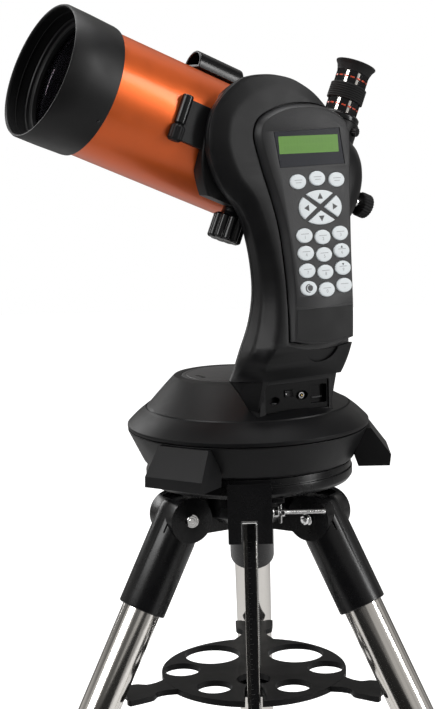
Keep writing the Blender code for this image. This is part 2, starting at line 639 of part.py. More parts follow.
def eyepiece():
    """A short eyepiece with a flared rubber cup, seated in the holder."""
    outer = [(0.0130, 0.0500), (0.0158, 0.0500), (0.0158, 0.0728), (0.0205, 0.0728), (0.0205, 0.0800),
             (0.0161, 0.0808), (0.0161, 0.0932), (0.0183, 0.0940), (0.0183, 0.1090), (0.0163, 0.1098),
             (0.0163, 0.1215), (0.0175, 0.1275), (0.0203, 0.1320), (0.0182, 0.1320)]
    inner = [(0.0130, 0.1230)]
    body = lathe(outer + inner, closed=True)
    placed("eyepiece", body, MATTE, tube_axis, (EYEPIECE_X, TUBE_Y, 0))


def finder():
    """The low half-round sight on top of the tube."""
    turns = [radians(a) for a in range(0, 181, 20)]
    outline = [(0.0145 * cos(a), 0.0020 + 0.0150 * sin(a)) for a in turns]
    outline = [(0.0145, 0.0)] + outline + [(-0.0145, 0.0)]
    body = slab([(x, y + 0.0598) for x, y in outline], 0.0340, 0.0840)
    turn = Matrix(((0, 0, 1, 0), (1, 0, 0, 0), (0, 1, 0, 0), (0, 0, 0, 1)))
    sight = placed("finder", moved(body, turn), BLACK, tube_axis, OTA)
    room = moved(rod(TUBE_R + GAP, 0.0, 0.12, TUBE_STEPS), TO_X)
    boolean(sight, "DIFFERENCE", "tube_seat", room, tube_axis, OTA)
    window = slab([(x * 0.78, (y - 0.002) * 0.80 + 0.0625) for x, y in outline], 0.0640, 0.1)
    boolean(sight, "DIFFERENCE", "sight_window", moved(window, turn), tube_axis, OTA)


def dovetail_bar():
    """The mounting bar along the tube's flank."""
    strip = block((-0.0600, 0.0500, -0.0190), (0.1110, 0.0655, 0.0190))
    bar = placed("dovetail_bar", strip, BLACK, tube_axis, smooth=False)
    seat = moved(rod(TUBE_R + GAP, -0.10, 0.15, TUBE_STEPS), TO_X)
    boolean(bar, "DIFFERENCE", "bar_seat", seat, tube_axis, OTA)


def inside_optics():
    """The baffle tube, the primary mirror that slides on it, the focus knob and the flip mirror."""
    flange = TUBE_BACK + 0.0003
    profile = [(0.0135, flange), (0.0572, flange), (0.0572, flange + 0.003), (0.0155, flange + 0.003),
               (0.0155, 0.030), (0.0135, 0.030)]
    baffle = placed("baffle_tube", lathe(profile, closed=True), MATTE, tube_axis, OTA, ALONG_X)
    back = moved(rod(0.0034, TUBE_BACK - 0.01, TUBE_BACK + 0.01, 12), TO_X)
    boolean(baffle, "DIFFERENCE", "focus_shaft_way", back, tube_axis, (0, FOCUS_Y + TUBE_Y, 0))
    back_face = TUBE_BACK + 0.0125
    mirror = [(0.0158, back_face), (0.0530, back_face), (0.0530, back_face + 0.011),
              (0.0158, back_face + 0.008)]
    placed("primary_mirror", lathe(mirror, closed=True), MIRROR, tube_axis, OTA, ALONG_X)
    knob = [(0, -0.1345), (0.0108, -0.1345), (0.0122, -0.1330), (0.0122, -0.1230), (0.0050, -0.1225),
            (0.0050, -0.1160), (0.0030, -0.1160), (0.0030, TUBE_BACK + 0.007), (0, TUBE_BACK + 0.007)]
    placed("focus_knob", lathe(knob, steps=16), BLACK, tube_axis, (0, FOCUS_Y + TUBE_Y, 0), ALONG_X)
    hinge = (-0.0890, TUBE_Y, 0)
    shaft = rod(0.0030, -0.0660, 0.0120, 12)
    flip = placed("flip_mirror", shaft, MIRROR, tube_axis, hinge, ALONG_Y)
    plate = block((-0.0150, -0.0120, -0.0015), (0.0150, 0.0125, 0.0015))
    boolean(flip, "UNION", "flip_plate", plate, tube_axis, hinge, (0, radians(45), 0))
    lever = rod(0.0095, -0.0700, -0.0622, 16)
    boolean(flip, "UNION", "flip_knob", lever, tube_axis, hinge, ALONG_Y)


tripod_head()
tie_rod()
for index, leg_heading in enumerate(LEG_HEADINGS, 1):
    leg(index, leg_heading)
accessory_tray()
wedge_plate()
latitude_bar()
base_housing()
azimuth_gear()
turntable()
arm_shells()
port_panel()
altitude_gear()
clamp_saddle()
handset()
front_cell()
corrector_lens()
optical_tube()
rear_cell()
eyepiece()
finder()
dovetail_bar()
inside_optics()
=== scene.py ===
"""Looks of a Maksutov telescope on its single-arm mount and steel tripod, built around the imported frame."""

from math import cos, hypot, pi, radians, sin, sqrt, tan

import bmesh
import bpy
from mathutils import Euler, Matrix, Vector


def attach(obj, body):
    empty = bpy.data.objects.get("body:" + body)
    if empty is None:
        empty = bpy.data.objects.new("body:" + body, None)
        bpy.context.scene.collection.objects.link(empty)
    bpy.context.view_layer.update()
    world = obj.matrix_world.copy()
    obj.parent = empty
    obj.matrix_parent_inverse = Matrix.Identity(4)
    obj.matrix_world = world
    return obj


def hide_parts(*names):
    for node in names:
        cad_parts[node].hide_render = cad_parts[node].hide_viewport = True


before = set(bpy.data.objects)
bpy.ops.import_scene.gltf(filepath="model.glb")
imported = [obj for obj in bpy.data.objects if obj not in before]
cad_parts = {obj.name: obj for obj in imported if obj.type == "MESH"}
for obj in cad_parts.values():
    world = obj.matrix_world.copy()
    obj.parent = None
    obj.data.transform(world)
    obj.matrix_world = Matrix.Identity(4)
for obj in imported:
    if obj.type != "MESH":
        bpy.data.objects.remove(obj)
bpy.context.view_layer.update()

# The part's own dimensions, in millimetres ----------------------------------------------------------

MM = 0.001
SPREAD = radians(28)
PIVOT_R = 77.7
PIVOT_Z = -85
LEG_LENGTH = 822
LEG_R = 19.05
SLEEVE_R = 23.4
LOWER_R = 15.9
UPPER_END = 640
FOOT_R = 18.5
LUG_HALF = 14.5
CHEEK_HALF = 23.5
LEG_HEADINGS = (radians(90), radians(210), radians(330))
SEAM_HEIGHT = LEG_LENGTH * cos(SPREAD) - PIVOT_Z
TRAY_Z = -252.7
TRAY_R = 92.8
TRAY_SHIFT = -6

RIM_R = 118.5
RIDGE_R = 99.5
RIDGE_Z = 19.3
TOP_R = 56
TOP_Z = 45
TOP_CENTRE = (4, -26)
HOUSING_LOW_R = 104
HOUSING_LOW_Z = -34.5
PLATE_R = 102
PLATE_TOP = -36.2
PLATE_LOW = -55.3
BAR_Y = -90
PIN_Z = -74.5

HEADING = radians(30.9)
ALTITUDE = radians(22.8)
ALT_Z = 257.5
ARM_INNER_Y = 68.3
ARM_SEAM_Y = 74.4
LEAN = 0.116
ARM_OUTLINE = ((61.7, 228.6), (68.7, 238), (74.5, 251.9), (78.3, 265.6), (79.4, 279.1), (76.2, 296.9), (69.6, 310.1),
    (58.9, 321.4), (44, 332), (33.5, 335.2), (20.8, 336.6), (7.1, 335.9), (-9, 332.5), (-19.7, 327.7), (-30.4, 321.2),
    (-39.1, 313.7), (-47.5, 304), (-55, 292), (-60, 279), (-62.5, 264), (-62, 230), (-60.5, 190), (-57.5, 150),
    (-54.5, 115), (-52.2, 89), (-51.2, 70), (-50, 56), (-47, 42), (-44.5, 30), (-44.5, 4), (40, 4), (40, 29),
    (60.5, 56), (55.9, 66), (48.9, 84.1), (43.1, 97.7), (38.4, 111.3), (34.7, 129.8), (34.1, 148.4), (36.7, 171.9),
    (41.5, 193.5), (45.4, 204.8), (51.4, 217.1))
HANDSET_AT = (-17.1, 93, 272.1)
HANDSET_OUTLINE = ((-31, -179), (-16, -182.5), (2, -184), (18, -183), (32.5, -180), (35.5, -146), (38.5, -90),
    (43, -30), (45.5, 0), (45, 12), (41, 21), (31, 27.5), (16, 32.5), (-2, 34), (-20, 32.5), (-35, 27.5),
    (-44.5, 21.5), (-48.5, 13), (-48, 2), (-42.5, -22), (-36, -46), (-30.5, -72), (-28, -100), (-27, -140))
KEY_PITCH = (19.56, 16.17)
KEY_SIZE = (8.6, 6.8)
KEY_CENTRE_X = 6.9
KEY_ROW_Y = -83.5
TOP_KEYS = ((-15, -34), (6, -31.8), (27.2, -33.8))
ARROWS_AT = (7.1, -58.5)
ARROWS_SIZE = (23.2, 16)
KEY_PROUD = 1.6
KEY_BASE = -1.6
WELL_FLOOR = -3.2

TUBE_Y = 2.8
TUBE_R = 59.2
TUBE_FRONT = 174.2
TUBE_BACK = -62
CELL_FRONT = 226.3
CELL_R = 63.4
REAR_END = -115
EYEPIECE_X = -88.5
SADDLE_LOW_Y = 50
KNOB_X = 20
KNOB_Y = 51.2
FOCUS_Y = 28.5


def axis_y():
    """The azimuth axis in Y: the part's box is centred on the origin."""
    half = FOOT_R / cos(SPREAD)
    reach = PIVOT_R + LEG_LENGTH * sin(SPREAD)
    front = reach / 2 + hypot(half / 2, FOOT_R * sqrt(3) / 2)
    return (front - reach - half) / 2


def turned(x, y, z):
    return Euler((x, y, z)).to_matrix().to_4x4()


def at(x, y, z):
    return Matrix.Translation((x, y, z))


TO_X = Matrix.Rotation(pi / 2, 4, "Y")
TO_Y = Matrix.Rotation(-pi / 2, 4, "X")
TRIPOD = at(0, axis_y(), SEAM_HEIGHT)
MOUNT = TRIPOD @ turned(0, 0, HEADING - pi)
TUBE = MOUNT @ at(0, 0, ALT_Z) @ turned(0, -ALTITUDE, 0)
ALONG_TUBE = TUBE @ at(0, TUBE_Y, 0) @ turned(0, pi / 2, 0)
ACROSS_TUBE = TUBE @ turned(-pi / 2, 0, 0)
HANDSET = MOUNT @ at(*HANDSET_AT) @ turned(pi / 2 - LEAN, 0, pi)
EYEPIECE = TUBE @ at(EYEPIECE_X, TUBE_Y, 0)
OPTICAL_AXIS = TUBE @ at(0, TUBE_Y, 0)


# Materials -------------------------------------------------------------------------------------


def wire(tree, made, feeds):
    """Sets a node's inputs: a socket is linked, anything else is the input's value."""
    for key, value in feeds.items():
        if isinstance(value, bpy.types.NodeSocket):
            tree.links.new(value, made.inputs[key])
        else:
            made.inputs[key].default_value = value


def node(tree, kind, feeds=None, **settings):
    """A new shader node with its settings and inputs; gives its outputs."""
    made = tree.nodes.new("ShaderNode" + kind)
    for key, value in settings.items():
        setattr(made, key, value)
    wire(tree, made, feeds or {})
    return made.outputs


def remap(tree, value, low, high, to_low=0.0, to_high=1.0, **settings):
    feeds = {"From Min": low, "From Max": high, "To Min": to_low, "To Max": to_high, "Value": value}
    return node(tree, "MapRange", feeds, **settings)["Result"]


def principled(name, feeds):
    made = bpy.data.materials.new(name)
    made.use_nodes = True
    wire(made.node_tree, made.node_tree.nodes["Principled BSDF"], feeds)
    return made


def surface(name, colour, rough, metallic=0.0, coat=0.0, grain=900, depth=1, strength=0.1, mottle=0.15, spread=0.05,
        stretch=(1, 1, 1), edge=0.0, specular=0.5):
    """A material with mottled colour, uneven gloss, a fine grain (depth in 0.01 mm) and lighter edges."""
    made = principled(name, {"Metallic": metallic, "Coat Weight": coat, "Coat Roughness": 0.16,
        "Specular IOR Level": specular})
    tree = made.node_tree
    where = node(tree, "Mapping", {"Scale": stretch, "Vector": node(tree, "TexCoord")["Object"]})["Vector"]
    cloud = node(tree, "TexNoise", {"Scale": 38.0, "Detail": 6.0, "Roughness": 0.62, "Vector": where})["Fac"]
    dark, light = ((*[c * share for c in colour], 1) for share in (1 - mottle, 1 + mottle))
    tint = node(tree, "Mix", {"A": dark, "B": light, "Factor": cloud}, data_type="RGBA")["Result"]
    if edge:
        rim = remap(tree, node(tree, "NewGeometry")["Pointiness"], 0.53, 0.62, 0.0, 0.55)
        worn = (*[c + edge for c in colour], 1)
        tint = node(tree, "Mix", {"A": tint, "B": worn, "Factor": rim}, data_type="RGBA")["Result"]
    gloss = remap(tree, cloud, 0.3, 0.7, max(0.02, rough - spread), rough + spread)
    wire(tree, tree.nodes["Principled BSDF"], {"Base Color": tint, "Roughness": gloss})
    if strength:
        fine = node(tree, "TexNoise", {"Scale": grain, "Detail": 3.0, "Vector": where})["Fac"]
        bump = node(tree, "Bump", {"Distance": depth * 0.00001, "Strength": strength, "Height": fine})["Normal"]
        wire(tree, tree.nodes["Principled BSDF"], {"Normal": bump})
    return made


BLACK = surface("satin_black", (0.0045, 0.0045, 0.005), 0.42, grain=1500, depth=3, strength=0.45, edge=0.006,
    specular=0.2)
CASE = surface("case_black", (0.009, 0.009, 0.01), 0.5, grain=750, depth=12, strength=0.9, edge=0.006, mottle=0.5,
    specular=0.4)
SMOOTH = surface("smooth_black", (0.0035, 0.0035, 0.004), 0.24, grain=500, depth=2, strength=0.2, specular=0.35)
CAST = surface("cast_black", (0.0035, 0.0035, 0.004), 0.27, grain=420, depth=6, strength=0.5, edge=0.006,
    specular=0.35)
MATTE = surface("matte_black", (0.0034, 0.0034, 0.0038), 0.46, grain=2200, depth=3, strength=0.5, edge=0.004,
    specular=0.3)
INSIDE = surface("flat_black", (0.0015, 0.0015, 0.0017), 0.75, depth=8, strength=0.8, specular=0.12)
RUBBER = surface("rubber", (0.006, 0.006, 0.0064), 0.7, grain=700, depth=12, strength=0.8, edge=0.005, specular=0.25)
LID = surface("lid_black", (0.02, 0.02, 0.021), 0.46, depth=4, strength=0.4, specular=0.7)
# Darker than satin black. On the ports plate this is painted shade that stands in for the dark recess around the
# ports. On the handset's lower face it only makes that panel darker than the case.
PANEL_BLACK_AND_SHADE = surface("panel_black_and_painted_shade", (0.002, 0.002, 0.0022), 0.36, depth=2, strength=0.3, specular=0.12)
CHROME = surface("polished_steel", (0.78, 0.755, 0.72), 0.14, 1.0, depth=0.2, strength=0.05, mottle=0.1, spread=0.02,
    stretch=(1, 1, 0.04))
STEEL = surface("dull_steel", (0.22, 0.22, 0.225), 0.3, 1.0, depth=2, strength=0.3, mottle=0.1)
BRIGHT = surface("bright_steel", (0.8, 0.8, 0.8), 0.16, 1.0, depth=2, strength=0.2, mottle=0.05)
ORANGE = surface("orange_lacquer", (0.66, 0.112, 0.017), 0.4, 0.72, 0.3, grain=5200, depth=3, strength=0.22,
    mottle=0.1, spread=0.03)
KEYCAP = surface("key_grey", (0.62, 0.66, 0.68), 0.38, grain=1800, depth=2, strength=0.3, mottle=0.04)
INK = surface("key_ink", (0.01, 0.01, 0.012), 0.45, grain=1800)
LEGEND = surface("key_legend", (0.22, 0.23, 0.25), 0.5, grain=1800)
DISPLAY = surface("display_green", (0.118, 0.262, 0.046), 0.35, specular=0.15, grain=3000, strength=0.15, mottle=0.06,
    spread=0.02)
PIXELS = surface("display_cells", (0.113, 0.252, 0.044), 0.35, specular=0.15, grain=3000)
WINDOW = surface("display_frame", (0.003, 0.004, 0.009), 0.3, specular=0.12)
BRASS = surface("gear_brass", (0.6, 0.43, 0.16), 0.32, 1.0, grain=600, depth=3, strength=0.3)
RED = surface("red_ring", (0.55, 0.06, 0.02), 0.3, 0.3, 0.6)
MIRROR = surface("mirror_coating", (0.9, 0.91, 0.92), 0.05, 1.0, grain=200, strength=0.05, mottle=0.01, spread=0.01)
WHITE_MARK = surface("white_mark", (0.7, 0.7, 0.7), 0.45)
GOLD = surface("contact_gold", (0.8, 0.58, 0.22), 0.25, 1.0)


def glass(name, colour, film):
    made = surface(name, colour, 0.02, coat=0.4, grain=60, strength=0.02, mottle=0.02, spread=0.005)
    wire(made.node_tree, made.node_tree.nodes["Principled BSDF"],
        {"Transmission Weight": 1.0, "IOR": 1.5, "Thin Film Thickness": film, "Thin Film IOR": 1.38})
    return made


GLASS = glass("coated_glass", (0.62, 0.58, 0.74), 150.0)
AMBER = surface("sight_lens", (0.02, 0.008, 0.004), 0.12, grain=60, strength=0.02, specular=0.3)


# Mesh tools ------------------------------------------------------------------------------------


def added(name, data, matrix=None):
    """A new object in the scene."""
    made = bpy.data.objects.new(name, data)
    bpy.context.scene.collection.objects.link(made)
    if matrix:
        made.matrix_world = matrix
    return made


def meshed(name, bm):
    mesh = bpy.data.meshes.new(name)
    bm.to_mesh(mesh)
    bm.free()
    return mesh


def scaled(mesh):
    """A mesh in millimetres as one in metres."""
    mesh.transform(Matrix.Scale(MM, 4))
    return mesh


def metres(matrix):
    """A frame whose place is in millimetres as one in metres."""
    return Matrix.Translation(matrix.translation * MM) @ matrix.to_3x3().to_4x4()


def evaluated(source):
    """The mesh of an object after its modifiers."""
    bpy.context.view_layer.update()
    return bpy.data.meshes.new_from_object(source.evaluated_get(bpy.context.evaluated_depsgraph_get()))


def ease_edges(made, width, segments, limit):
    edges = made.modifiers.new("edges", "BEVEL")
    edges.width = width
    edges.segments = segments
    edges.limit_method = "ANGLE"
    edges.angle_limit = limit


def place(name, bm, finish, body, matrix, nodes=(), bevel=0, segments=2, angle=30, smooth=True):
    """A bmesh as a named piece that rides on a body and stands for some CAD nodes."""
    bmesh.ops.remove_doubles(bm, verts=bm.verts, dist=1e-4)
    bmesh.ops.recalc_face_normals(bm, faces=bm.faces)
    mesh = scaled(meshed(name, bm))
    made = added(name, mesh, metres(matrix))
    mesh.materials.append(finish)
    if smooth:
        mesh.shade_smooth()
        mesh.set_sharp_from_angle(angle=radians(angle))
    if bevel:
        ease_edges(made, bevel * MM, segments, radians(angle))
    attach(made, body)
    if nodes:
        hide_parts(*([nodes] if isinstance(nodes, str) else nodes))
    return made


def cut(target, bm, matrix, operation="DIFFERENCE"):
    """Cuts a closed shape out of a piece, or adds it, for good."""
    bmesh.ops.recalc_face_normals(bm, faces=bm.faces)
    helper = added("cutter", scaled(meshed("cutter", bm)), metres(matrix))
    kept = [(m.width, m.segments, m.angle_limit) for m in target.modifiers]
    target.modifiers.clear()
    step = target.modifiers.new("cut", "BOOLEAN")
    step.operation = operation
    step.object = helper
    step.solver = "EXACT"
    result = evaluated(target)
    target.modifiers.clear()
    target.data = result
    bpy.data.objects.remove(helper)
    for bevel in kept:
        ease_edges(target, *bevel)
    result.shade_smooth()
    result.set_sharp_from_angle(angle=radians(30))


def lathe(profile, closed=False, steps=96):
    """A turned shape about +Z from (radius, height) points."""
    bm = bmesh.new()
    verts = [bm.verts.new((r, 0, h)) for r, h in profile]
    pairs = list(zip(verts, verts[1:]))
    if closed:
        pairs.append((verts[-1], verts[0]))
    edges = [bm.edges.new(pair) for pair in pairs]
    bmesh.ops.spin(bm, geom=verts + edges, cent=(0, 0, 0), axis=(0, 0, 1), angle=2 * pi, steps=steps, use_merge=True)
    bmesh.ops.remove_doubles(bm, verts=bm.verts, dist=1e-4)
    return bm


def eased(profile, radius=0.6, closed=False, cuts=3):
    """The profile with its corners rounded."""
    count = len(profile)
    made = []
    for i, here in enumerate(profile):
        if not closed and i in (0, count - 1):
            made.append(here)
            continue
        before, after = profile[i - 1], profile[(i + 1) % count]
        one = Vector(before) - Vector(here)
        two = Vector(after) - Vector(here)
        reach = min(radius, one.length * 0.45, two.length * 0.45)
        if reach < 1e-3 or abs(one.angle(two) - pi) < 0.12:
            made.append(here)
            continue
        start = Vector(here) + one.normalized() * reach
        end = Vector(here) + two.normalized() * reach
        for k in range(cuts + 1):
            t = k / cuts
            at = start * (1 - t) ** 2 + Vector(here) * 2 * t * (1 - t) + end * t * t
            made.append((at.x, at.y))
    return made


def turned_piece(profile, radius=0.6, closed=False, steps=96):
    return lathe(eased(profile, radius, closed), closed, steps)


def slab(outline, low, high):
    """An outline in X and Y extruded from one height to another."""
    bm = bmesh.new()
    face = bm.faces.new([bm.verts.new((x, y, low)) for x, y in outline])
    grown = bmesh.ops.extrude_face_region(bm, geom=[face])
    lifted = [v for v in grown["geom"] if isinstance(v, bmesh.types.BMVert)]
    bmesh.ops.translate(bm, verts=lifted, vec=(0, 0, high - low))
    bmesh.ops.recalc_face_normals(bm, faces=bm.faces)
    return bm


def layers(loops, closed=False):
    """Skin over a stack of loops of points, capped at both ends unless closed on itself."""
    bm = bmesh.new()
    rows = [[bm.verts.new(p) for p in loop] for loop in loops]
    pairs = list(zip(rows, rows[1:]))
    if closed:
        pairs.append((rows[-1], rows[0]))
    for one, two in pairs:
        for i in range(len(one)):
            j = (i + 1) % len(one)
            bm.faces.new((one[i], one[j], two[j], two[i]))
    if not closed:
        bm.faces.new(rows[0])
        bm.faces.new(rows[-1])
    bmesh.ops.recalc_face_normals(bm, faces=bm.faces)
    return bm


def block(low, high):
    corners = [(low[0], low[1]), (high[0], low[1]), (high[0], high[1]), (low[0], high[1])]
    return slab(corners, low[2], high[2])


def rod(radius, low, high, steps=48):
    return lathe([(0, low), (radius, low), (radius, high), (0, high)], steps=steps)


def oval(width, height, centre=(0, 0), points=40):
    turns = [2 * pi * i / points for i in range(points)]
    return [(centre[0] + width * cos(a), centre[1] + height * sin(a)) for a in turns]


def rounded(width, height, radius, centre=(0, 0), points=6):
    """A rectangle of half sizes width and height with round corners."""
    made = []
    for quarter in range(4):
        sx = 1 if quarter in (0, 3) else -1
        sy = 1 if quarter in (0, 1) else -1
        for k in range(points + 1):
            a = quarter * pi / 2 + k * pi / 2 / points
            made.append((centre[0] + sx * (width - radius) + radius * cos(a),
                centre[1] + sy * (height - radius) + radius * sin(a)))
    return made


def smooth_loop(points, per=6, sharp=()):
    """A closed Catmull-Rom curve through points; indices in sharp stay corners."""
    made = []
    count = len(points)
    for i in range(count):
        p0, p1, p2, p3 = (Vector(points[(i + k) % count]) for k in (-1, 0, 1, 2))
        if i in sharp:
            p0 = p1
        if (i + 1) % count in sharp:
            p3 = p2
        for k in range(per):
            t = k / per
            at = 0.5 * ((2 * p1) + (p2 - p0) * t + (2 * p0 - 5 * p1 + 4 * p2 - p3) * t * t
                + (3 * p1 - p0 - 3 * p2 + p3) * t ** 3)
            made.append((at.x, at.y))
    return made


def grown(outline, by):
    """The outline moved outwards, with mitred corners."""
    count = len(outline)
    points = [Vector(p) for p in outline]
    area = sum(points[i - 1].cross(points[i]) for i in range(count))
    side = by if area > 0 else -by
    normals = []
    for i in range(count):
        along = (points[(i + 1) % count] - points[i]).normalized()
        normals.append(Vector((along.y, -along.x)))
    made = []
    for i in range(count):
        both = normals[i - 1] + normals[i]
        shift = both * side / max(0.6, 1 + normals[i - 1].dot(normals[i]))
        made.append((points[i].x + shift.x, points[i].y + shift.y))
    return made


def moved(bm, matrix):
    bmesh.ops.transform(bm, matrix=matrix, verts=bm.verts)
    return bm


def joined(*parts):
    whole = bmesh.new()
    for part in parts:
        mesh = meshed("part", part)
        whole.from_mesh(mesh)
        bpy.data.meshes.remove(mesh)
    return whole


def fluted(radius, groove, teeth, low, high, chamfer=1.2, share=0.5):
    """A knob's body with straight finger grooves and eased ends."""
    steps = teeth * 8
    outline = []
    for i in range(steps):
        a = 2 * pi * i / steps
        wave = (1 + cos(a * teeth)) / 2
        outline.append((a, radius - groove * (1 - wave ** share)))
    loops = []
    for height, inset in ((low, chamfer), (low + chamfer, 0), (high - chamfer, 0), (high, chamfer)):
        loops.append([((r - inset) * cos(a), (r - inset) * sin(a), height) for a, r in outline])
    return layers(loops)


def hoop(inner, outer, low, high):
    """A ring of rectangular section."""
    return lathe([(inner, low), (outer, low), (outer, high), (inner, high)], True)


def hexagon(across, low, high):
    corner = across / 2 / cos(pi / 6)
    return slab([(corner * cos(pi / 3 * k), corner * sin(pi / 3 * k)) for k in range(6)], low, high)


def bore(radius, low, high, steps=48):
    """A round rod along X."""
    return moved(rod(radius, low, high, steps), TO_X)


# Tripod ----------------------------------------------------------------------------------------

HEAD_TOP = PLATE_LOW - 0.5


def thread(radius, depth, pitch, low, high, steps=32):
    """A screw-cut rod."""
    profile = [(0, low)]
    for i in range(int((high - low) / pitch)):
        base = low + i * pitch
        profile += [(radius - depth, base), (radius, base + pitch * 0.5)]
    return lathe(profile + [(radius - depth, high), (0, high)], steps=steps)


def tripod_head():
    hub = turned_piece([(0, -94), (44, -94), (47.5, -90.5), (56, -86), (56, HEAD_TOP - 2), (0, HEAD_TOP - 2)], 2)
    head = place("head_hub", hub, CAST, "tripod", TRIPOD, "tripod_head", 1, 3, 35)
    for heading in LEG_HEADINGS:
        turn = Matrix.Rotation(heading, 4, "Z")
        lug = block((30, -LUG_HALF + 0.2, -102.4), (PIVOT_R, LUG_HALF - 0.2, -67.6))
        cut(head, lug, TRIPOD @ turn, "UNION")
        eye = moved(rod(18, -LUG_HALF, LUG_HALF), TO_Y)
        cut(head, eye, TRIPOD @ turn @ at(PIVOT_R, 0, PIVOT_Z), "UNION")
    for side in (-1, 1):
        x = side * 48
        cut(head, block((x - 8, 20, -90), (x + 8, 87, HEAD_TOP)), TRIPOD, "UNION")
        hinge = joined(hexagon(10, 8.3, 13.5), rod(3.4, 13, 15.2))
        place(f"hinge_nut_{side + 2}", hinge, BRIGHT, "tripod", TRIPOD @ at(x, 78, -70) @ turned(0, side * pi / 2, 0),
            bevel=0.4)
    cut(head, rod(7.2, -120, -70), TRIPOD)
    place("rod_thread", thread(6.8, 0.7, 2, -366, -70.5), BRIGHT, "tripod", TRIPOD, "tie_rod")
    place("rod_nut", joined(hexagon(19, -104, -94.2), rod(12.5, -95.2, -93.6)), BRIGHT, "tripod", TRIPOD, bevel=0.6)


def leg(number, heading):
    hinge = at(PIVOT_R * cos(heading), PIVOT_R * sin(heading), PIVOT_Z)
    pivot = TRIPOD @ hinge @ turned(0, pi - SPREAD, heading)
    body, lower = f"leg_{number}", f"leg_{number}_lower"
    inner = LEG_R + 0.2
    sleeve = turned_piece([(0, -13), (SLEEVE_R - 6, -12.8), (SLEEVE_R - 1, -9), (SLEEVE_R, -2), (SLEEVE_R, 97.5),
        (inner, 97.5), (inner, 40), (0, 40)], 3)
    fork = place(f"fork_{number}", sleeve, CAST, body, pivot, f"leg_bracket_{number}", 1, 3, 35)
    cut(fork, moved(rod(22.2, -CHEEK_HALF, CHEEK_HALF, 64), TO_Y), pivot, "UNION")
    room = LUG_HALF + 0.4
    cut(fork, block((-19, -room, -30), (40, room, 21)), pivot)
    place(f"sleeve_screw_{number}", joined(rod(3.6, 0, 1.6), hexagon(3.8, 1.4, 1.8)), SMOOTH, body,
        pivot @ at(SLEEVE_R - 0.5, 0, 56) @ TO_X, bevel=0.3)
    for side in (-1, 1):
        nut = joined(rod(6.6, -0.3, 1), hexagon(9.4, 0.9, 5), rod(2.8, 4.8, 6.6))
        place(f"pivot_nut_{number}_{side + 2}", nut, BRIGHT, body,
            pivot @ at(0, side * CHEEK_HALF, 0) @ turned(-side * pi / 2, 0, 0.5), bevel=0.5)
    tube = turned_piece([(LEG_R - 1.4, 40.2), (LEG_R, 40.2), (LEG_R, UPPER_END), (LEG_R - 1.4, UPPER_END)], 0.4, True)
    place(f"upper_tube_{number}", tube, CHROME, body, pivot, f"leg_tube_{number}")
    ring = turned_piece([(LOWER_R + 0.3, UPPER_END - 30), (SLEEVE_R, UPPER_END - 30), (SLEEVE_R, UPPER_END - 12),
        (SLEEVE_R - 0.6, UPPER_END - 11.2), (SLEEVE_R, UPPER_END - 10.4), (SLEEVE_R, UPPER_END + 26),
        (LOWER_R + 0.3, UPPER_END + 26)], 1.2, True)
    collar = place(f"collar_{number}", ring, BLACK, body, pivot, bevel=0.8)
    boss = moved(rod(10.5, 18, 30), Matrix.Rotation(-pi / 2, 4, "Y"))
    cut(collar, boss, pivot @ at(0, 0, UPPER_END), "UNION")
    cut(collar, rod(LOWER_R + 0.3, UPPER_END - 40, UPPER_END + 40), pivot)
    sliding = turned_piece([(LOWER_R - 1.4, 150), (LOWER_R, 150), (LOWER_R, 790), (LOWER_R - 1.4, 790)], 0.4, True)
    place(f"lower_tube_{number}", sliding, CHROME, lower, pivot, f"leg_extension_{number}")
    for i in range(9):
        mark = rod(LOWER_R + 0.06, 675 + i * 10, 675.5 + i * 10)
        place(f"length_mark_{number}_{i}", mark, INK, lower, pivot)
    boot = [(0, 757), (LOWER_R + 0.4, 757)]
    for i in range(5):
        base = 762 + i * 7.5
        boot += [(FOOT_R, base), (FOOT_R, base + 5), (FOOT_R - 0.8, base + 5.8), (FOOT_R - 0.8, base + 6.7)]
    boot += [(FOOT_R, 800), (FOOT_R, LEG_LENGTH), (0, LEG_LENGTH)]
    shoe = lathe(boot)
    for vert in shoe.verts:
        if vert.co.z > LEG_LENGTH - 0.1:
            vert.co.z -= vert.co.x * tan(SPREAD)
    place(f"boot_{number}", moved(shoe, pivot), RUBBER, lower, Matrix(), bevel=0.4)
    lock_body = f"leg_{number}_lock"
    lock = pivot @ at(-30.3, 0, UPPER_END) @ turned(0, -pi / 2, 0)
    knob = fluted(15.5, 2.2, 12, 5.5, 20.5, 1.5)
    place(f"lock_knob_{number}", knob, BLACK, lock_body, lock, f"leg_lock_knob_{number}", 0.4)
    place(f"lock_neck_{number}", rod(8.5, 0, 6), SMOOTH, lock_body, lock, bevel=0.4)
    place(f"lock_cap_{number}", turned_piece([(0, 20), (10.2, 20), (9.8, 20.5), (0, 20.5)], 0.2), SMOOTH, lock_body,
        lock)


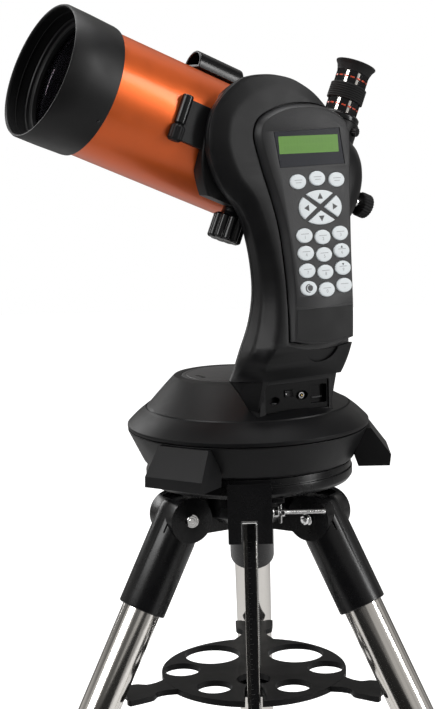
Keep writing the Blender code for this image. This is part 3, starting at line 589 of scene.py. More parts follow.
def accessory_tray():
    centre = PIVOT_R + (PIVOT_Z - TRAY_Z) * tan(SPREAD)
    low, high = TRAY_Z - 6, TRAY_Z
    disc = moved(rod(TRAY_R, low, high, 128), at(0, TRAY_SHIFT, 0))
    tray = place("tray_plate", disc, BLACK, "tray", TRIPOD, "accessory_tray", 0.9, 3, 35)
    half = [(60, 34), (72, 26.8), (82, 21.8), (90, 18.5), (97, 14.8), (105, 12.1), (111, 11.6), (115, 12.1),
        (118.5, 15), (121.5, 18.2), (126, 19.6), (140, 20.3), (147.8, 20.5), (149, 19)]
    outline = [(x, -y) for x, y in half] + list(reversed(half))
    for heading in LEG_HEADINGS:
        turn = TRIPOD @ Matrix.Rotation(heading, 4, "Z")
        cut(tray, slab(outline, low + 0.2, high - 0.2), turn, "UNION")
    for heading in LEG_HEADINGS:
        turn = TRIPOD @ Matrix.Rotation(heading, 4, "Z")
        cut(tray, rod(22.8, low - 10, high + 10, 64), turn @ at(centre, 0, 0))
        cut(tray, block((70, -9, low - 1), (108, 9, low + 2.2)), turn)
    holes = [(side * 43.1, 38.4, 28.6) for side in (-1, 1)]
    holes += [(side * 72.3, -6.2, 18.4) for side in (-1, 1)]
    holes += [(side * 38.6, -57.1, 17.6) for side in (-1, 1)]
    holes += [(0, -36.7, 16.8), (0, 0, 7.3)]
    for x, y, r in holes:
        cut(tray, rod(r, low - 10, high + 10, 72), TRIPOD @ at(x, y, 0))
    cut(tray, block((-8.3, -120, low - 10), (8.3, -62, high + 10)), TRIPOD)
    body = fluted(21, 2.6, 12, low - 20.5, low - 5, 1.5)
    place("tray_nut_grip", body, BLACK, "tray_nut", TRIPOD, "tray_knob", 0.4)
    collar = hoop(7.3, 12, low - 5.5, low - 0.4)
    place("tray_nut_collar", collar, SMOOTH, "tray_nut", TRIPOD, bevel=0.4)


# Wedge plate and base --------------------------------------------------------------------------


def wedge():
    low, high = PLATE_LOW, PLATE_TOP
    profile = [(0, low), (PLATE_R - 3, low), (PLATE_R, low + 4), (PLATE_R, high - 7.5), (PLATE_R - 1.2, high - 6.8),
        (PLATE_R - 1.2, high), (0, high)]
    plate = place("plate", turned_piece(profile, 0.8, steps=160), CAST, "wedge", TRIPOD, "wedge_plate",
        0.8, 3, 35)
    cut(plate, block((-20, -103.5, -97), (21.5, -76, -40)), TRIPOD, "UNION")
    cut(plate, block((-7.8, -110, -120), (7.8, -70, PIN_Z)), TRIPOD)
    for x in (-50, 50):
        bolt = joined(rod(8, -1.5, 0.2), hexagon(11, -6.2, -1.4))
        place(f"plate_bolt_{'left' if x < 0 else 'right'}", bolt, SMOOTH, "wedge", TRIPOD @ at(x, -50, low),
            bevel=0.5)


def scale_bar():
    face = BAR_Y - 2.5
    strip = block((-6, BAR_Y - 2.2, -310), (6, BAR_Y + 2.5, PIN_Z - 4))
    place("scale_strip", strip, CHROME, "scale_bar", TRIPOD, "latitude_bar", 0.4)
    band = block((-2.4, face, -308.5), (4.8, face + 1, PIN_Z - 6))
    place("scale_face", band, CAST, "scale_bar", TRIPOD, bevel=0.2)
    marks = []
    for i in range(42):
        z = -98 - i * 5
        reach = 3.4 if i % 5 == 0 else 1.8
        marks.append(block((-2, face - 0.06, z - 0.3), (-2 + reach, face + 0.2, z + 0.3)))
    place("scale_ticks", joined(*marks), STEEL, "scale_bar", TRIPOD)
    pin = bore(2.8, -7.2, 7.2, 40)
    place("scale_pin", pin, BRIGHT, "scale_bar", TRIPOD @ at(0, BAR_Y, PIN_Z - 4), bevel=0.4)


def lock_rod():
    """The long screw across the front that tightens the tilt, with its nuts and bracket."""
    run = TRIPOD @ at(21.6, -88, -70.5) @ TO_X
    place("lock_screw", thread(2.4, 0.4, 1, -1, 50, 24), BRIGHT, "wedge", run)
    nut = joined(hexagon(8.5, 1.6, 6), rod(5.2, 0.4, 1.7), hexagon(7.8, 8.5, 12))
    place("lock_screw_nuts", nut, BRIGHT, "wedge", run, bevel=0.4)
    clip = block((21.5, -96, -60), (33, -79, -55.2))
    place("lock_screw_clip", clip, CAST, "wedge", TRIPOD, bevel=0.6)
    place("lock_screw_foot", rod(2, -10, 8), BRIGHT, "wedge", TRIPOD @ at(29, -88, -71), bevel=0.3)


def housing():
    low, top = HOUSING_LOW_Z - 1.2, -2.4
    floor = low + 4
    profile = [(0, low), (HOUSING_LOW_R - 3, low), (HOUSING_LOW_R, low + 2.5), (RIM_R, top - 1), (RIM_R, top),
        (RIM_R - 4, top), (HOUSING_LOW_R - 4, floor), (0, floor)]
    made = place("housing_bowl", turned_piece(profile, 0.6, steps=192), BLACK, "wedge", TRIPOD, "base_housing",
        0.7, 3, 28)
    shape = [(109, -4), (119.5, -4), (138.5, -30), (137, -40.5), (106.5, -40.5), (103, -31)]
    for heading in (0, radians(120), radians(240)):
        foot = slab(shape, -27.5, 27.5)
        for vert in foot.verts:
            vert.co.z *= 1.0 + 0.18 * (-4 - vert.co.y) / 36.5
        turn = Matrix.Rotation(heading, 4, "Z") @ Matrix.Rotation(pi / 2, 4, "X")
        cut(made, foot, TRIPOD @ turn, "UNION")


def gear(teeth, root, tip, low, high):
    """A spur wheel with sloped tooth flanks."""
    outline = []
    for i in range(teeth):
        for share, radius in ((0.05, root), (0.22, tip), (0.48, tip), (0.65, root)):
            a = 2 * pi * (i + share) / teeth
            outline.append((radius * cos(a), radius * sin(a)))
    return slab(outline, low, high)


def base_gear():
    place("azimuth_wheel", gear(90, 53.2, 55, -25, -19), BRASS, "wedge", TRIPOD, "azimuth_gear", 0.2,
        smooth=False)
    shaft = turned_piece([(0, -31.2), (11, -31.2), (11, 4), (9.2, 4.8), (9.2, 8), (0, 8)], 0.5)
    place("azimuth_spindle", shaft, BRIGHT, "wedge", TRIPOD)


def ring(radius, height, centre=(0, 0), steps=192):
    turns = [2 * pi * i / steps for i in range(steps)]
    return [(centre[0] + radius * cos(a), centre[1] + radius * sin(a), height) for a in turns]


def turntable():
    outside = [ring(RIM_R - 1.2, -1.9), ring(RIM_R, -1.2), ring(RIM_R + 0.3, 0.4), ring(RIM_R + 0.2, 2.2),
        ring(RIM_R - 0.6, 3.1)]
    for i in range(1, 8):
        t = i / 8
        outside.append(ring(RIM_R - 0.6 + (RIDGE_R + 0.6 - RIM_R) * t,
            3.1 + (RIDGE_Z - 0.4 - 3.1) * t + 1 * sin(pi * t)))
    outside += [ring(RIDGE_R + 1.2, RIDGE_Z - 1), ring(RIDGE_R + 0.7, RIDGE_Z - 1.8),
        ring(RIDGE_R - 0.1, RIDGE_Z - 1.8), ring(RIDGE_R - 0.8, RIDGE_Z - 0.1)]
    for i in range(1, 15):
        share = i / 14
        radius = RIDGE_R + (TOP_R - RIDGE_R) * share
        height = RIDGE_Z + (TOP_Z - RIDGE_Z) * (1 - (1 - share) ** 1.06)
        outside.append(ring(radius - 1 * (1 - share), height, (TOP_CENTRE[0] * share, TOP_CENTRE[1] * share)))
    inside = []
    for loop in outside[3:]:
        centre = sum((Vector(v) for v in loop), Vector()) / len(loop)
        inside.append([centre + (Vector(v) - centre) * 0.955 - Vector((0, 0, 3)) for v in loop])
    inside[0] = [(v[0], v[1], -1.9) for v in inside[0]]
    bm = layers(list(reversed(inside)) + outside)
    table = place("turntable_cover", bm, BLACK, "mount", MOUNT, "turntable", 0.7, 3, 35)
    cut(table, rod(TOP_R - 7, TOP_Z - 1.8, TOP_Z + 10, 96), MOUNT @ at(*TOP_CENTRE, 0))
    cut(table, block((-44.8, ARM_INNER_Y - 0.3, -10), (40.3, 85.3, 80)), MOUNT)
    edge = TOP_R - 7.3
    profile = [(0, TOP_Z - 1.5), (edge, TOP_Z - 1.5), (edge, TOP_Z - 0.3), (edge - 0.6, TOP_Z),
        (edge - 4, TOP_Z + 0.1), (edge - 4.4, TOP_Z - 0.3), (edge - 5, TOP_Z - 0.3), (edge - 5.4, TOP_Z + 0.2),
        (0, TOP_Z + 0.6)]
    place("battery_lid", turned_piece(profile, 0.2), LID, "lid", MOUNT @ at(*TOP_CENTRE, 0), "battery_cover")
    catch = slab(rounded(8, 2.2, 1.8), 0, 0.4)
    place("lid_catch", catch, SMOOTH, "lid", MOUNT @ at(TOP_CENTRE[0] + 34, TOP_CENTRE[1], TOP_Z + 0.1)
        @ turned(0, 0, pi / 2), bevel=0.1)


# Arm -------------------------------------------------------------------------------------------

PANEL_LOW = (-40, 23)
PANEL_HIGH = (30, 50)
SWITCH_AT = (4, 40)


def arm_outline():
    return smooth_loop(ARM_OUTLINE, 3, {28, 29, 30, 31, 32})


def eased_step(value):
    share = min(1.0, max(0.0, value))
    return share * share * (3 - 2 * share)


NECK_EDGE = ((0, 0), (0, 0.4), (0.2, 0.5), (1, 0.565), (2.6, 0.63), (5, 0.73), (8, 0.86), (10.8, 0.955), (13.5, 1.0))
HEAD_EDGE = ((0, 0), (0, 0.3), (0.8, 0.4), (4.5, 0.57), (10, 0.79), (14.8, 0.945), (16.6, 0.98), (18.2, 0.996),
    (20, 1.0))
SIDE_EDGE = ((0, 0), (0, 0.9), (0.2, 0.93), (0.5, 0.955), (1, 0.97), (1.5, 0.985), (2.2, 0.995), (3, 0.999), (4, 1.0))
FOOT_EDGE = ((0, 0), (1.6, 0.08), (5, 0.24), (9.5, 0.45), (14, 0.66), (17.5, 0.82), (20.5, 0.95), (21.3, 0.98),
    (22.2, 1.0))


def arm_loop(outline, step):
    """One loop of the outer shell's edge, from its seam inwards: steep on the neck, broad on head and foot."""
    loop = []
    for i, (x, z) in enumerate(outline):
        head = eased_step((x - 5) / 50) * eased_step((z - 195) / 45)
        foot = eased_step((x - 10) / 15) * eased_step((86 - z) / 28) * eased_step((z - 26) / 26)
        room = 1.0 - 0.75 * eased_step((85 - z) / 25)
        near, low = NECK_EDGE[step]
        far, high = HEAD_EDGE[step]
        inset = (near + (far - near) * head) * room
        low += (high - low) * head
        side = eased_step((-18 - x) / 12) * eased_step((245 - z) / 30)
        inset += (SIDE_EDGE[step][0] - inset) * side
        low += (SIDE_EDGE[step][1] - low) * side
        px, pz = grown(outline, -inset)[i]
        loop.append((px + (x - FOOT_EDGE[step][0] - px) * foot, low + (FOOT_EDGE[step][1] - low) * foot,
            pz + (z - pz) * foot))
    return loop


def arm_face(z):
    """The arm's outer face: below the handset's level, then the chin and the recess over the foot."""
    if z > 88:
        sink = 2.7 + (7 - 2.7) * min(1.0, (z - 88) / 45)
        return HANDSET_AT[1] + (HANDSET_AT[2] - z) * tan(LEAN) - sink
    if z > 56:
        share = (z - 56) / 32
        return 93 + 18 * share + 1.6 * sin(pi * share)
    if z > 54.5:
        return 85 + 8 * (z - 54.5) / 1.5
    return 85


def arm_outer():
    outline = arm_outline()
    base = ARM_SEAM_Y + 0.4
    loops = [arm_loop(outline, step) for step in range(len(NECK_EDGE))]
    bm = layers(loops)
    heights = [6 + 4 * i for i in range(83)] + [54.5, 56, 88]
    for z in heights:
        geometry = bm.verts[:] + bm.edges[:] + bm.faces[:]
        bmesh.ops.bisect_plane(bm, geom=geometry, plane_co=(0, 0, z), plane_no=(0, 0, 1), dist=1e-3)
    for vert in bm.verts:
        vert.co.y = base + vert.co.y * (arm_face(vert.co.z) - base)
    shell = place("arm_cover", bm, BLACK, "mount", MOUNT, "arm_outer_shell", 0.6, 3, 32)
    pocket = slab([(75 if x > 32.5 else x, y) for x, y in grown(handset_outline(), 5.6)], -12.3, 30)
    cut(shell, pocket, HANDSET)
    low, high = PANEL_LOW, PANEL_HIGH
    cut(shell, block((low[0] - 0.3, 75.7, low[1] - 0.3), (high[0] + 0.3, 130, high[1] + 0.3)), MOUNT)
    scoop = moved(rod(17.5, -6, 40, 64), at(1.2, -188.5, -1) @ turned(0.52, 0, 0))
    cut(shell, scoop, HANDSET)
    wall = [[(59.6, 70, 58), (37.6, 93.4, 58), (31, 93.4, 58), (31, 77, 58)],
        [(58, 70, 54), (37.8, 92.4, 54), (31.8, 92.6, 54), (31.8, 77, 54)],
        [(40, 70, 26.2), (39.8, 85, 26.2), (38.6, 85.2, 26.2), (38.6, 77, 26.2)]]
    place("arm_foot_wall", layers(wall), BLACK, "mount", MOUNT, bevel=0.8, segments=3)


def arm_inner():
    outline = arm_outline()
    loops = []
    for inset, y in ((2.2, ARM_INNER_Y), (0.6, ARM_INNER_Y + 0.6), (0, ARM_INNER_Y + 2), (0, ARM_SEAM_Y - 0.6),
            (0.8, ARM_SEAM_Y)):
        loops.append([(x, y, z) for x, z in grown(outline, -inset)])
    shell = place("arm_back", layers(loops), BLACK, "mount", MOUNT, "arm_inner_shell", 0.4)
    profile = [(0, 60), (12.5, 60), (12.5, 70.6), (34, 70.6), (34, 76), (0, 76)]
    cut(shell, lathe(profile), MOUNT @ at(0, 0, ALT_Z) @ turned(-pi / 2, 0, 0))
    for x, z in ((-60, 215), (25, 150), (-60, 120), (20, 70)):
        screw = joined(rod(4.2, 0, 0.6), hexagon(4.4, 0.5, 0.9))
        place(f"arm_screw_{round(z)}_{'a' if x < 0 else 'b'}", screw, SMOOTH, "mount",
            MOUNT @ at(x, ARM_INNER_Y, z) @ turned(pi / 2, 0, 0), bevel=0.2)


def ports():
    low, high = PANEL_LOW, PANEL_HIGH
    face = 83.6
    # The plate's near-black finish is painted shade: it darkens the recess around the ports.
    panel = place("ports_plate", block((low[0], 76, low[1]), (high[0], face, high[1])), PANEL_BLACK_AND_SHADE, "mount", MOUNT,
        "port_panel", 0.4, 2, 35)
    out = at(0, face, 0) @ turned(-pi / 2, 0, 0)
    cut(panel, slab(oval(5.2, 3.8), -5.5, 10), MOUNT @ at(19.5, 0, 34.5) @ out)
    cut(panel, slab(rounded(8.8, 8.8, 1.4), -5.5, 10), MOUNT @ at(-29.6, 0, 36.6) @ out)
    cut(panel, slab(oval(6.6, 4.4), -5.5, 10), MOUNT @ at(-10.5, 0, 37) @ out)
    cut(panel, block((-5.2, -3.4, -4), (5.2, 3.4, 10)), MOUNT @ at(SWITCH_AT[0], 0, SWITCH_AT[1]) @ out)
    jack = hoop(2, 3.1, -2, -5.4)
    place("jack_ring", jack, BRIGHT, "mount", MOUNT @ at(-11.5, 0, 36.5) @ out, bevel=0.1)
    place("jack_pin", rod(0.8, -5.4, -0.8), GOLD, "mount", MOUNT @ at(-11.5, 0, 36.5) @ out, bevel=0.2)
    pins = [block((-4.6 + i * 1.8, 3, -5.4), (-3.8 + i * 1.8, 3.6, -1.2)) for i in range(6)]
    place("socket_contacts", joined(*pins), STEEL, "mount", MOUNT @ at(-29, 0, 36.5) @ out)
    pins = [block((-2 + i * 1.8, 1.4, -5.4), (-1.2 + i * 1.8, 2, -1.2)) for i in range(3)]
    place("small_contacts", joined(*pins), STEEL, "mount", MOUNT @ at(19, 0, 33.5) @ out)
    profile = [(-4.7, -2.6), (4.7, -2.6), (4.7, 1.2), (2.2, 0.5), (0, 0.2), (-2.2, 0.5), (-4.7, 1.2)]
    place("switch_rocker", slab(profile, -2.9, 2.9), SMOOTH, "rocker", MOUNT @ at(SWITCH_AT[0], face, SWITCH_AT[1]),
        "power_switch", 0.3)
    place("switch_dot", slab(oval(0.7, 0.7), 0, 0.08), WHITE_MARK, "rocker",
        MOUNT @ at(SWITCH_AT[0] + 3.2, face + 0.85, SWITCH_AT[1]) @ turned(-pi / 2, 0, 0))


def altitude_wheel():
    place("altitude_wheel", gear(72, 30.2, 32, 70.9, 74), BRASS, "saddle", ACROSS_TUBE, "altitude_gear",
        0.2, smooth=False)
    place("altitude_spindle", rod(12, 68.3, 71.2), BRIGHT, "saddle", ACROSS_TUBE, bevel=0.4)


def saddle():
    disc = turned_piece([(0, SADDLE_LOW_Y), (81, SADDLE_LOW_Y), (81, 66.4), (79.8, 68), (0, 68)], 1.2, steps=160)
    made = place("saddle_disc", disc, BLACK, "saddle", ACROSS_TUBE, "clamp_saddle", 0.8, 3, 35)
    cut(made, bore(TUBE_R + 1.4, -150, 150, 128), OPTICAL_AXIS)
    cut(made, block((-150, 40, -19.3), (150, 65.8, 19.3)), TUBE)
    cut(made, block((-150, 30, -150), (150, 100, -56)), TUBE)
    cut(made, block((-150, 30, 50), (150, 100, 150)), TUBE)
    knob = fluted(16.2, 3, 10, -86.8, -63, 1.6, 0.45)
    place("clamp_grip", knob, SMOOTH, "clamp", TUBE @ at(KNOB_X, KNOB_Y, 0), "clamp_knob", 0.4)
    neck = turned_piece([(0, -63.5), (11.2, -63.5), (10, -60), (10, -56.3), (0, -56.3)])
    place("clamp_neck", neck, SMOOTH, "clamp", TUBE @ at(KNOB_X, KNOB_Y, 0))
    cap = turned_piece([(0, -86.8), (10, -86.8), (10.4, -86.2), (0, -86.2)], 0.2)
    place("clamp_cap", cap, BLACK, "clamp", TUBE @ at(KNOB_X, KNOB_Y, 0))


# Handset ---------------------------------------------------------------------------------------


def handset_outline():
    return smooth_loop(HANDSET_OUTLINE, 5, {0, 4})


def domed(outline, low, high, ease=0.9):
    loops = []
    for inset, z in ((0, low), (0, high - ease), (ease * 0.12, high - ease * 0.55), (ease * 0.45, high - ease * 0.18),
            (ease * 1.0, high - ease * 0.03), (ease * 1.8, high)):
        loops.append([(x, y, z) for x, y in grown(outline, -inset)])
    return layers(loops)


def arrow_outline(quarter, grow=0):
    half = radians(45) - 0.1 + grow / 20
    middle = quarter * pi / 2
    points = [middle - half + 2 * half * i / 14 for i in range(15)]
    reach = (ARROWS_SIZE[0] + grow, ARROWS_SIZE[1] + grow)
    tip = 4 - grow
    inner = (ARROWS_AT[0] + tip * cos(middle), ARROWS_AT[1] + tip * sin(middle) * 0.7)
    return [(ARROWS_AT[0] + reach[0] * cos(a), ARROWS_AT[1] + reach[1] * sin(a)) for a in points] + [inner]


def figure(text, size, matrix, body, name, finish):
    """A raised figure or sign."""
    curve = bpy.data.curves.new(name, "FONT")
    curve.body = text
    curve.size = size
    curve.align_x = curve.align_y = "CENTER"
    curve.extrude = 0.04
    holder = added(name, curve)
    mesh = scaled(evaluated(holder))
    bpy.data.objects.remove(holder)
    made = added(name, mesh, metres(matrix))
    mesh.materials.clear()
    mesh.materials.append(finish)
    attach(made, body)


def handset():
    outline = handset_outline()
    loops = []
    for extra, z in ((2.6, -12), (3.6, -10.8), (4, -8), (3.8, -6.5), (1.6, -2.6), (0.5, -1), (-0.1, -0.4), (-0.9, 0)):
        wider = grown(outline, extra)
        loops.append([(x, y if own[1] > -172 else max(y, own[1] - 0.5), z) for (x, y), own in zip(wider, outline)])
    case = place("handset_case", layers(loops), CASE, "handset", HANDSET, "handset_shell", 0.3, 2, 40)
    bezel = [(-36.5, 12.9), (35.5, 14.4), (38.7, -19.6), (-32.5, -20.8)]
    cut(case, slab(bezel, -0.6, 10), HANDSET)
    frame_plate = slab([(x * 0.985, (y + 3) * 0.97 - 3) for x, y in bezel], -0.7, -0.2)
    place("display_bezel", frame_plate, WINDOW, "handset", HANDSET, bevel=0.2)
    place("display_panel", slab(rounded(32.25, 8, 0.6, (0.5, 0)), -0.4, -0.08), DISPLAY, "handset", HANDSET)
    cells = [slab(rounded(1.35, 2.4, 0.2, (-25.5 + 3.4 * i, row)), -0.2, -0.05) for i in range(16)
        for row in (3.3, -3.3)]
    place("display_cells", joined(*cells), PIXELS, "handset", HANDSET, smooth=False)
    keys = [(f"key_top_{i + 1}", centre) for i, centre in enumerate(TOP_KEYS)]
    for row in range(4):
        for column in range(3):
            x = KEY_CENTRE_X + (column - 1) * KEY_PITCH[0]
            y = KEY_ROW_Y - row * KEY_PITCH[1] - (2.5 if column == 1 else 0)
            keys.append((f"key_{row * 3 + column + 1}", (x, y)))
    wells = []
    legends = "123456789-0-"
    for index, (name, (x, y)) in enumerate(keys):
        wells.append(slab(oval(KEY_SIZE[0] + 0.4, KEY_SIZE[1] + 0.4, (x, y)), WELL_FLOOR, 10))
        cap = domed(oval(KEY_SIZE[0], KEY_SIZE[1], points=48), KEY_BASE, KEY_PROUD)
        place(f"{name}_top", cap, KEYCAP, f"{name}_cap", HANDSET @ at(x, y, 0), name)
        lines = [block((-4.2, 1.2, KEY_PROUD - 0.1), (4.2, 1.7, KEY_PROUD + 0.03))]
        if index < 3:
            lines.append(block((-3, -1.2, KEY_PROUD - 0.1), (3, -0.7, KEY_PROUD + 0.03)))
        place(f"{name}_line", joined(*lines), LEGEND, f"{name}_cap", HANDSET @ at(x, y, 0), smooth=False)
        if name in ("key_6", "key_9"):
            side = 1 if name == "key_6" else -1
            mark = [(0, side * 1.3), (-1.3, -side * 0.9), (1.3, -side * 0.9)]
            place(f"{name}_mark", slab(mark, -0.1, 0.05), INK, f"{name}_cap", HANDSET @ at(x, y + 3.4, KEY_PROUD),
                smooth=False)
        if name == "key_10":
            moon = [(4 * cos(a), 4 * sin(a)) for a in (radians(d) for d in range(70, 291, 10))]
            moon += [(0.7 + 3.3 * cos(a), 3.3 * sin(a)) for a in (radians(d) for d in range(280, 79, -10))]
            disc = oval(2.8, 2.8, (1.2, 0.2), 32)
            place("key_10_moon", joined(slab(moon, -0.1, 0.06), slab(disc, -0.1, 0.06)), INK, "key_10_cap",
                HANDSET @ at(x, y, KEY_PROUD), smooth=False)
        elif index >= 3:
            figure(legends[index - 3], 4.2, HANDSET @ at(x, y - 1.7, KEY_PROUD), f"{name}_cap", f"{name}_figure",
                LEGEND)
    for quarter, name in enumerate(("key_right", "key_up", "key_left", "key_down")):
        shape = arrow_outline(quarter)
        wells.append(slab(arrow_outline(quarter, 0.4), WELL_FLOOR, 10))
        place(f"{name}_top", domed(shape, KEY_BASE, KEY_PROUD, 0.7), KEYCAP, f"{name}_cap", HANDSET, name)
        a = quarter * pi / 2
        reach = (15 * cos(a), 9.8 * sin(a))
        arrow = [(3.4, 0), (-2, 3), (-2, -3)]
        place(f"{name}_arrow", slab(arrow, -0.1, 0.04), INK, f"{name}_cap",
            HANDSET @ at(ARROWS_AT[0] + reach[0], ARROWS_AT[1] + reach[1], KEY_PROUD) @ turned(0, 0, a), smooth=False)
    cut(case, joined(*wells), HANDSET)
    edge, top, lower = grown(outline, -1.3), -151.2, []
    for (xa, ya), (xb, yb) in zip(edge, edge[1:] + edge[:1]):
        if ya < top:
            lower.append((xa, ya))
        if (ya < top) != (yb < top):
            lower.append((xa + (xb - xa) * (top - ya) / (yb - ya), top))
    place("handset_lower_face", slab(lower, -0.6, 0.2), PANEL_BLACK_AND_SHADE, "handset", HANDSET, bevel=0.2)
    seam = [(-33, -148.5), (0, -151.5), (40, -147.5), (40, -146.9), (0, -150.8), (-33, -147.8)]
    cut(case, slab(seam, -0.5, 10), HANDSET)


# Optical tube ----------------------------------------------------------------------------------


def front_cell():
    outer = [(54, TUBE_FRONT + 0.3), (60.5, TUBE_FRONT + 0.3), (62, TUBE_FRONT + 1.2), (62.5, TUBE_FRONT + 4),
        (63.3, TUBE_FRONT + 30), (CELL_R, CELL_FRONT - 2), (CELL_R - 0.7, CELL_FRONT - 0.4), (62.5, CELL_FRONT),
        (61.3, CELL_FRONT - 0.3)]
    inner = [(60.8, CELL_FRONT - 1.2), (60.6, 208), (58, 207.5), (57.2, 206.8), (57, 204), (55.6, 203.4),
        (54.8, 203.4), (54, 202.5)]
    place("cell_ring", lathe(outer + inner, True, 160), MATTE, "tube", ALONG_TUBE, "front_cell",
        angle=24)
    lining = [(60.6, CELL_FRONT - 2.4), (60.2, CELL_FRONT - 2.4), (59.8, 217), (58.8, 216.6), (58.8, 215.8),
        (59.6, 215.4), (58.2, 208.2), (60.6, 208.2)]
    place("cell_lining", lathe(lining, True, 160), INSIDE, "tube", ALONG_TUBE)
    retainer = turned_piece([(52, 199), (53.8, 199), (53.8, 202.2), (53, 202.6), (52, 200)], 0.3, True, 160)
    place("lens_ring", retainer, INSIDE, "tube", ALONG_TUBE)
    for i in range(3):
        a = 2 * pi * i / 3 + radians(60)
        screw = joined(rod(1.7, -0.6, 0.5, 24), hexagon(1.7, 0.4, 0.7))
        place(f"cell_screw_{i + 1}", screw, SMOOTH, "tube", ALONG_TUBE @ turned(0, 0, a) @ at(62.6, 0, 180) @ TO_X,
            bevel=0.2)


def lens():
    sag, radius = 7.5, 53.7
    steps = 14
    front = [(radius * i / steps, 197.5 - sag * (1 - (i / steps) ** 2)) for i in range(steps + 1)]
    back = [(r, h - 9) for r, h in reversed(front)]
    place("meniscus", lathe(front + back, steps=128), GLASS, "tube", ALONG_TUBE, "corrector_lens")
    spot = lathe([(0, 180.85), (17, 180.85), (17, 180.6), (0, 180.6)])
    place("secondary_spot", spot, MIRROR, "tube", ALONG_TUBE)


def tube():
    ends = TUBE_R - 0.3
    profile = [(TUBE_R - 1.5, TUBE_BACK), (ends, TUBE_BACK), (TUBE_R, TUBE_BACK + 0.3), (TUBE_R, TUBE_FRONT - 0.3),
        (ends, TUBE_FRONT), (TUBE_R - 1.5, TUBE_FRONT)]
    place("tube_skin", lathe(profile, True, 192), ORANGE, "tube", ALONG_TUBE, "optical_tube")
    lining = []
    for i in range(30):
        z = TUBE_BACK + 16 + i * 5
        lining += [(TUBE_R - 1.6, z), (TUBE_R - 2.2, z + 0.4), (TUBE_R - 2.2, z + 1), (TUBE_R - 1.6, z + 1.4)]
    back = [(TUBE_R - 1.52, h) for h in (TUBE_FRONT - 1, TUBE_BACK + 15)]
    place("tube_lining", lathe(lining + back, True, 128), INSIDE, "tube", ALONG_TUBE)


def rear_cell():
    end = TUBE_BACK - 0.3
    outer = [(0, REAR_END - 6), (21.5, REAR_END - 6), (22.5, REAR_END - 5), (22.5, REAR_END), (29, REAR_END),
        (31, -114.7), (40, -113), (45, -110.6), (49, -108), (53.3, -104.2), (56.5, -100), (58.6, -95), (59.8, -90),
        (60, -84), (60, -65.5), (59.6, -64.9), (59.6, -64.3), (60, -63.7), (60, end)]
    inner = [(55.5, end), (55, -88), (51, -96.5), (40, -105.5), (0, -109)]
    cell = place("rear_dome", lathe(outer + inner, steps=128), BLACK, "tube", ALONG_TUBE, "rear_cell",
        0.7, 3, 32)
    cut(cell, rod(21.5, 46.2, 72.5, 96), EYEPIECE, "UNION")
    cut(cell, rod(16.1, 35.3, 80, 96), EYEPIECE)
    cut(cell, rod(3.4, -75, -40), TUBE @ at(-89, TUBE_Y, 0) @ TO_Y)
    cut(cell, rod(3.4, -130, -100), TUBE @ at(0, FOCUS_Y + TUBE_Y, 0) @ TO_X)
    for i in range(2):
        screw = fluted(4.6, 0.6, 12, 0, 5, 0.5)
        place(f"holder_screw_{i + 1}", screw, SMOOTH, "tube",
            EYEPIECE @ turned(0, 0, 2.0 + i * 2.1) @ at(21.2, 0, 65) @ TO_X, bevel=0.2)
    rings = [hoop(r, r + 1.1, REAR_END - 6.6, REAR_END - 5.8) for r in (6, 12, 17.5)]
    place("rear_port_rings", joined(*rings), RUBBER, "tube", ALONG_TUBE)


def eyepiece():
    barrel = hoop(13, 15.8, 50, 74)
    place("eyepiece_barrel", barrel, BRIGHT, "ocular", EYEPIECE, "eyepiece", 0.3)
    collar = turned_piece([(15, 72.8), (19.6, 72.8), (20.3, 73.8), (20.3, 78), (18, 80.2), (15, 80.2)], 0.6, True)
    place("eyepiece_collar", collar, SMOOTH, "ocular", EYEPIECE)
    core = hoop(13, 15, 73.5, 123)
    place("eyepiece_core", core, CHROME, "ocular", EYEPIECE)
    for low, high, name in ((80, 93.8, "low"), (109.2, 122.2, "high")):
        ribs = []
        for i in range(8):
            rib = block((14.2, -4.4, low), (16.1, 4.4, high))
            ribs.append(moved(rib, Matrix.Rotation(2 * pi * i / 8 + 0.25, 4, "Z")))
        place(f"eyepiece_ribs_{name}", joined(*ribs), SMOOTH, "ocular", EYEPIECE, bevel=0.3)
        middle = (low + high) / 2
        line = hoop(14.9, 16.25, middle - 0.7, middle + 0.7)
        place(f"eyepiece_red_line_{name}", line, RED, "ocular", EYEPIECE)
    grip = [(15, 93.6)]
    for i in range(7):
        base = 93.6 + i * 2.2
        grip += [(17.8, base), (18.2, base + 0.3), (18.2, base + 1.5), (17.6, base + 1.9)]
    grip += [(17, 109.4), (15, 109.4)]
    place("eyepiece_grip", lathe(grip, True), RUBBER, "ocular", EYEPIECE)
    cup = turned_piece([(14.5, 121.8), (16.4, 121.8), (16.8, 124), (18.2, 128), (20.2, 131), (20.2, 132), (18.4, 132),
        (16.6, 127), (13, 125.5), (13, 121.8)], 0.5, True)
    place("eyepiece_cup", cup, RUBBER, "ocular", EYEPIECE)
    eye = [(13.2 * i / 8, 123 + 1.4 * (1 - (i / 8) ** 2)) for i in range(9)]
    place("eye_lens", lathe(eye + [(13.2, 121), (0, 121)]), WINDOW, "ocular", EYEPIECE)


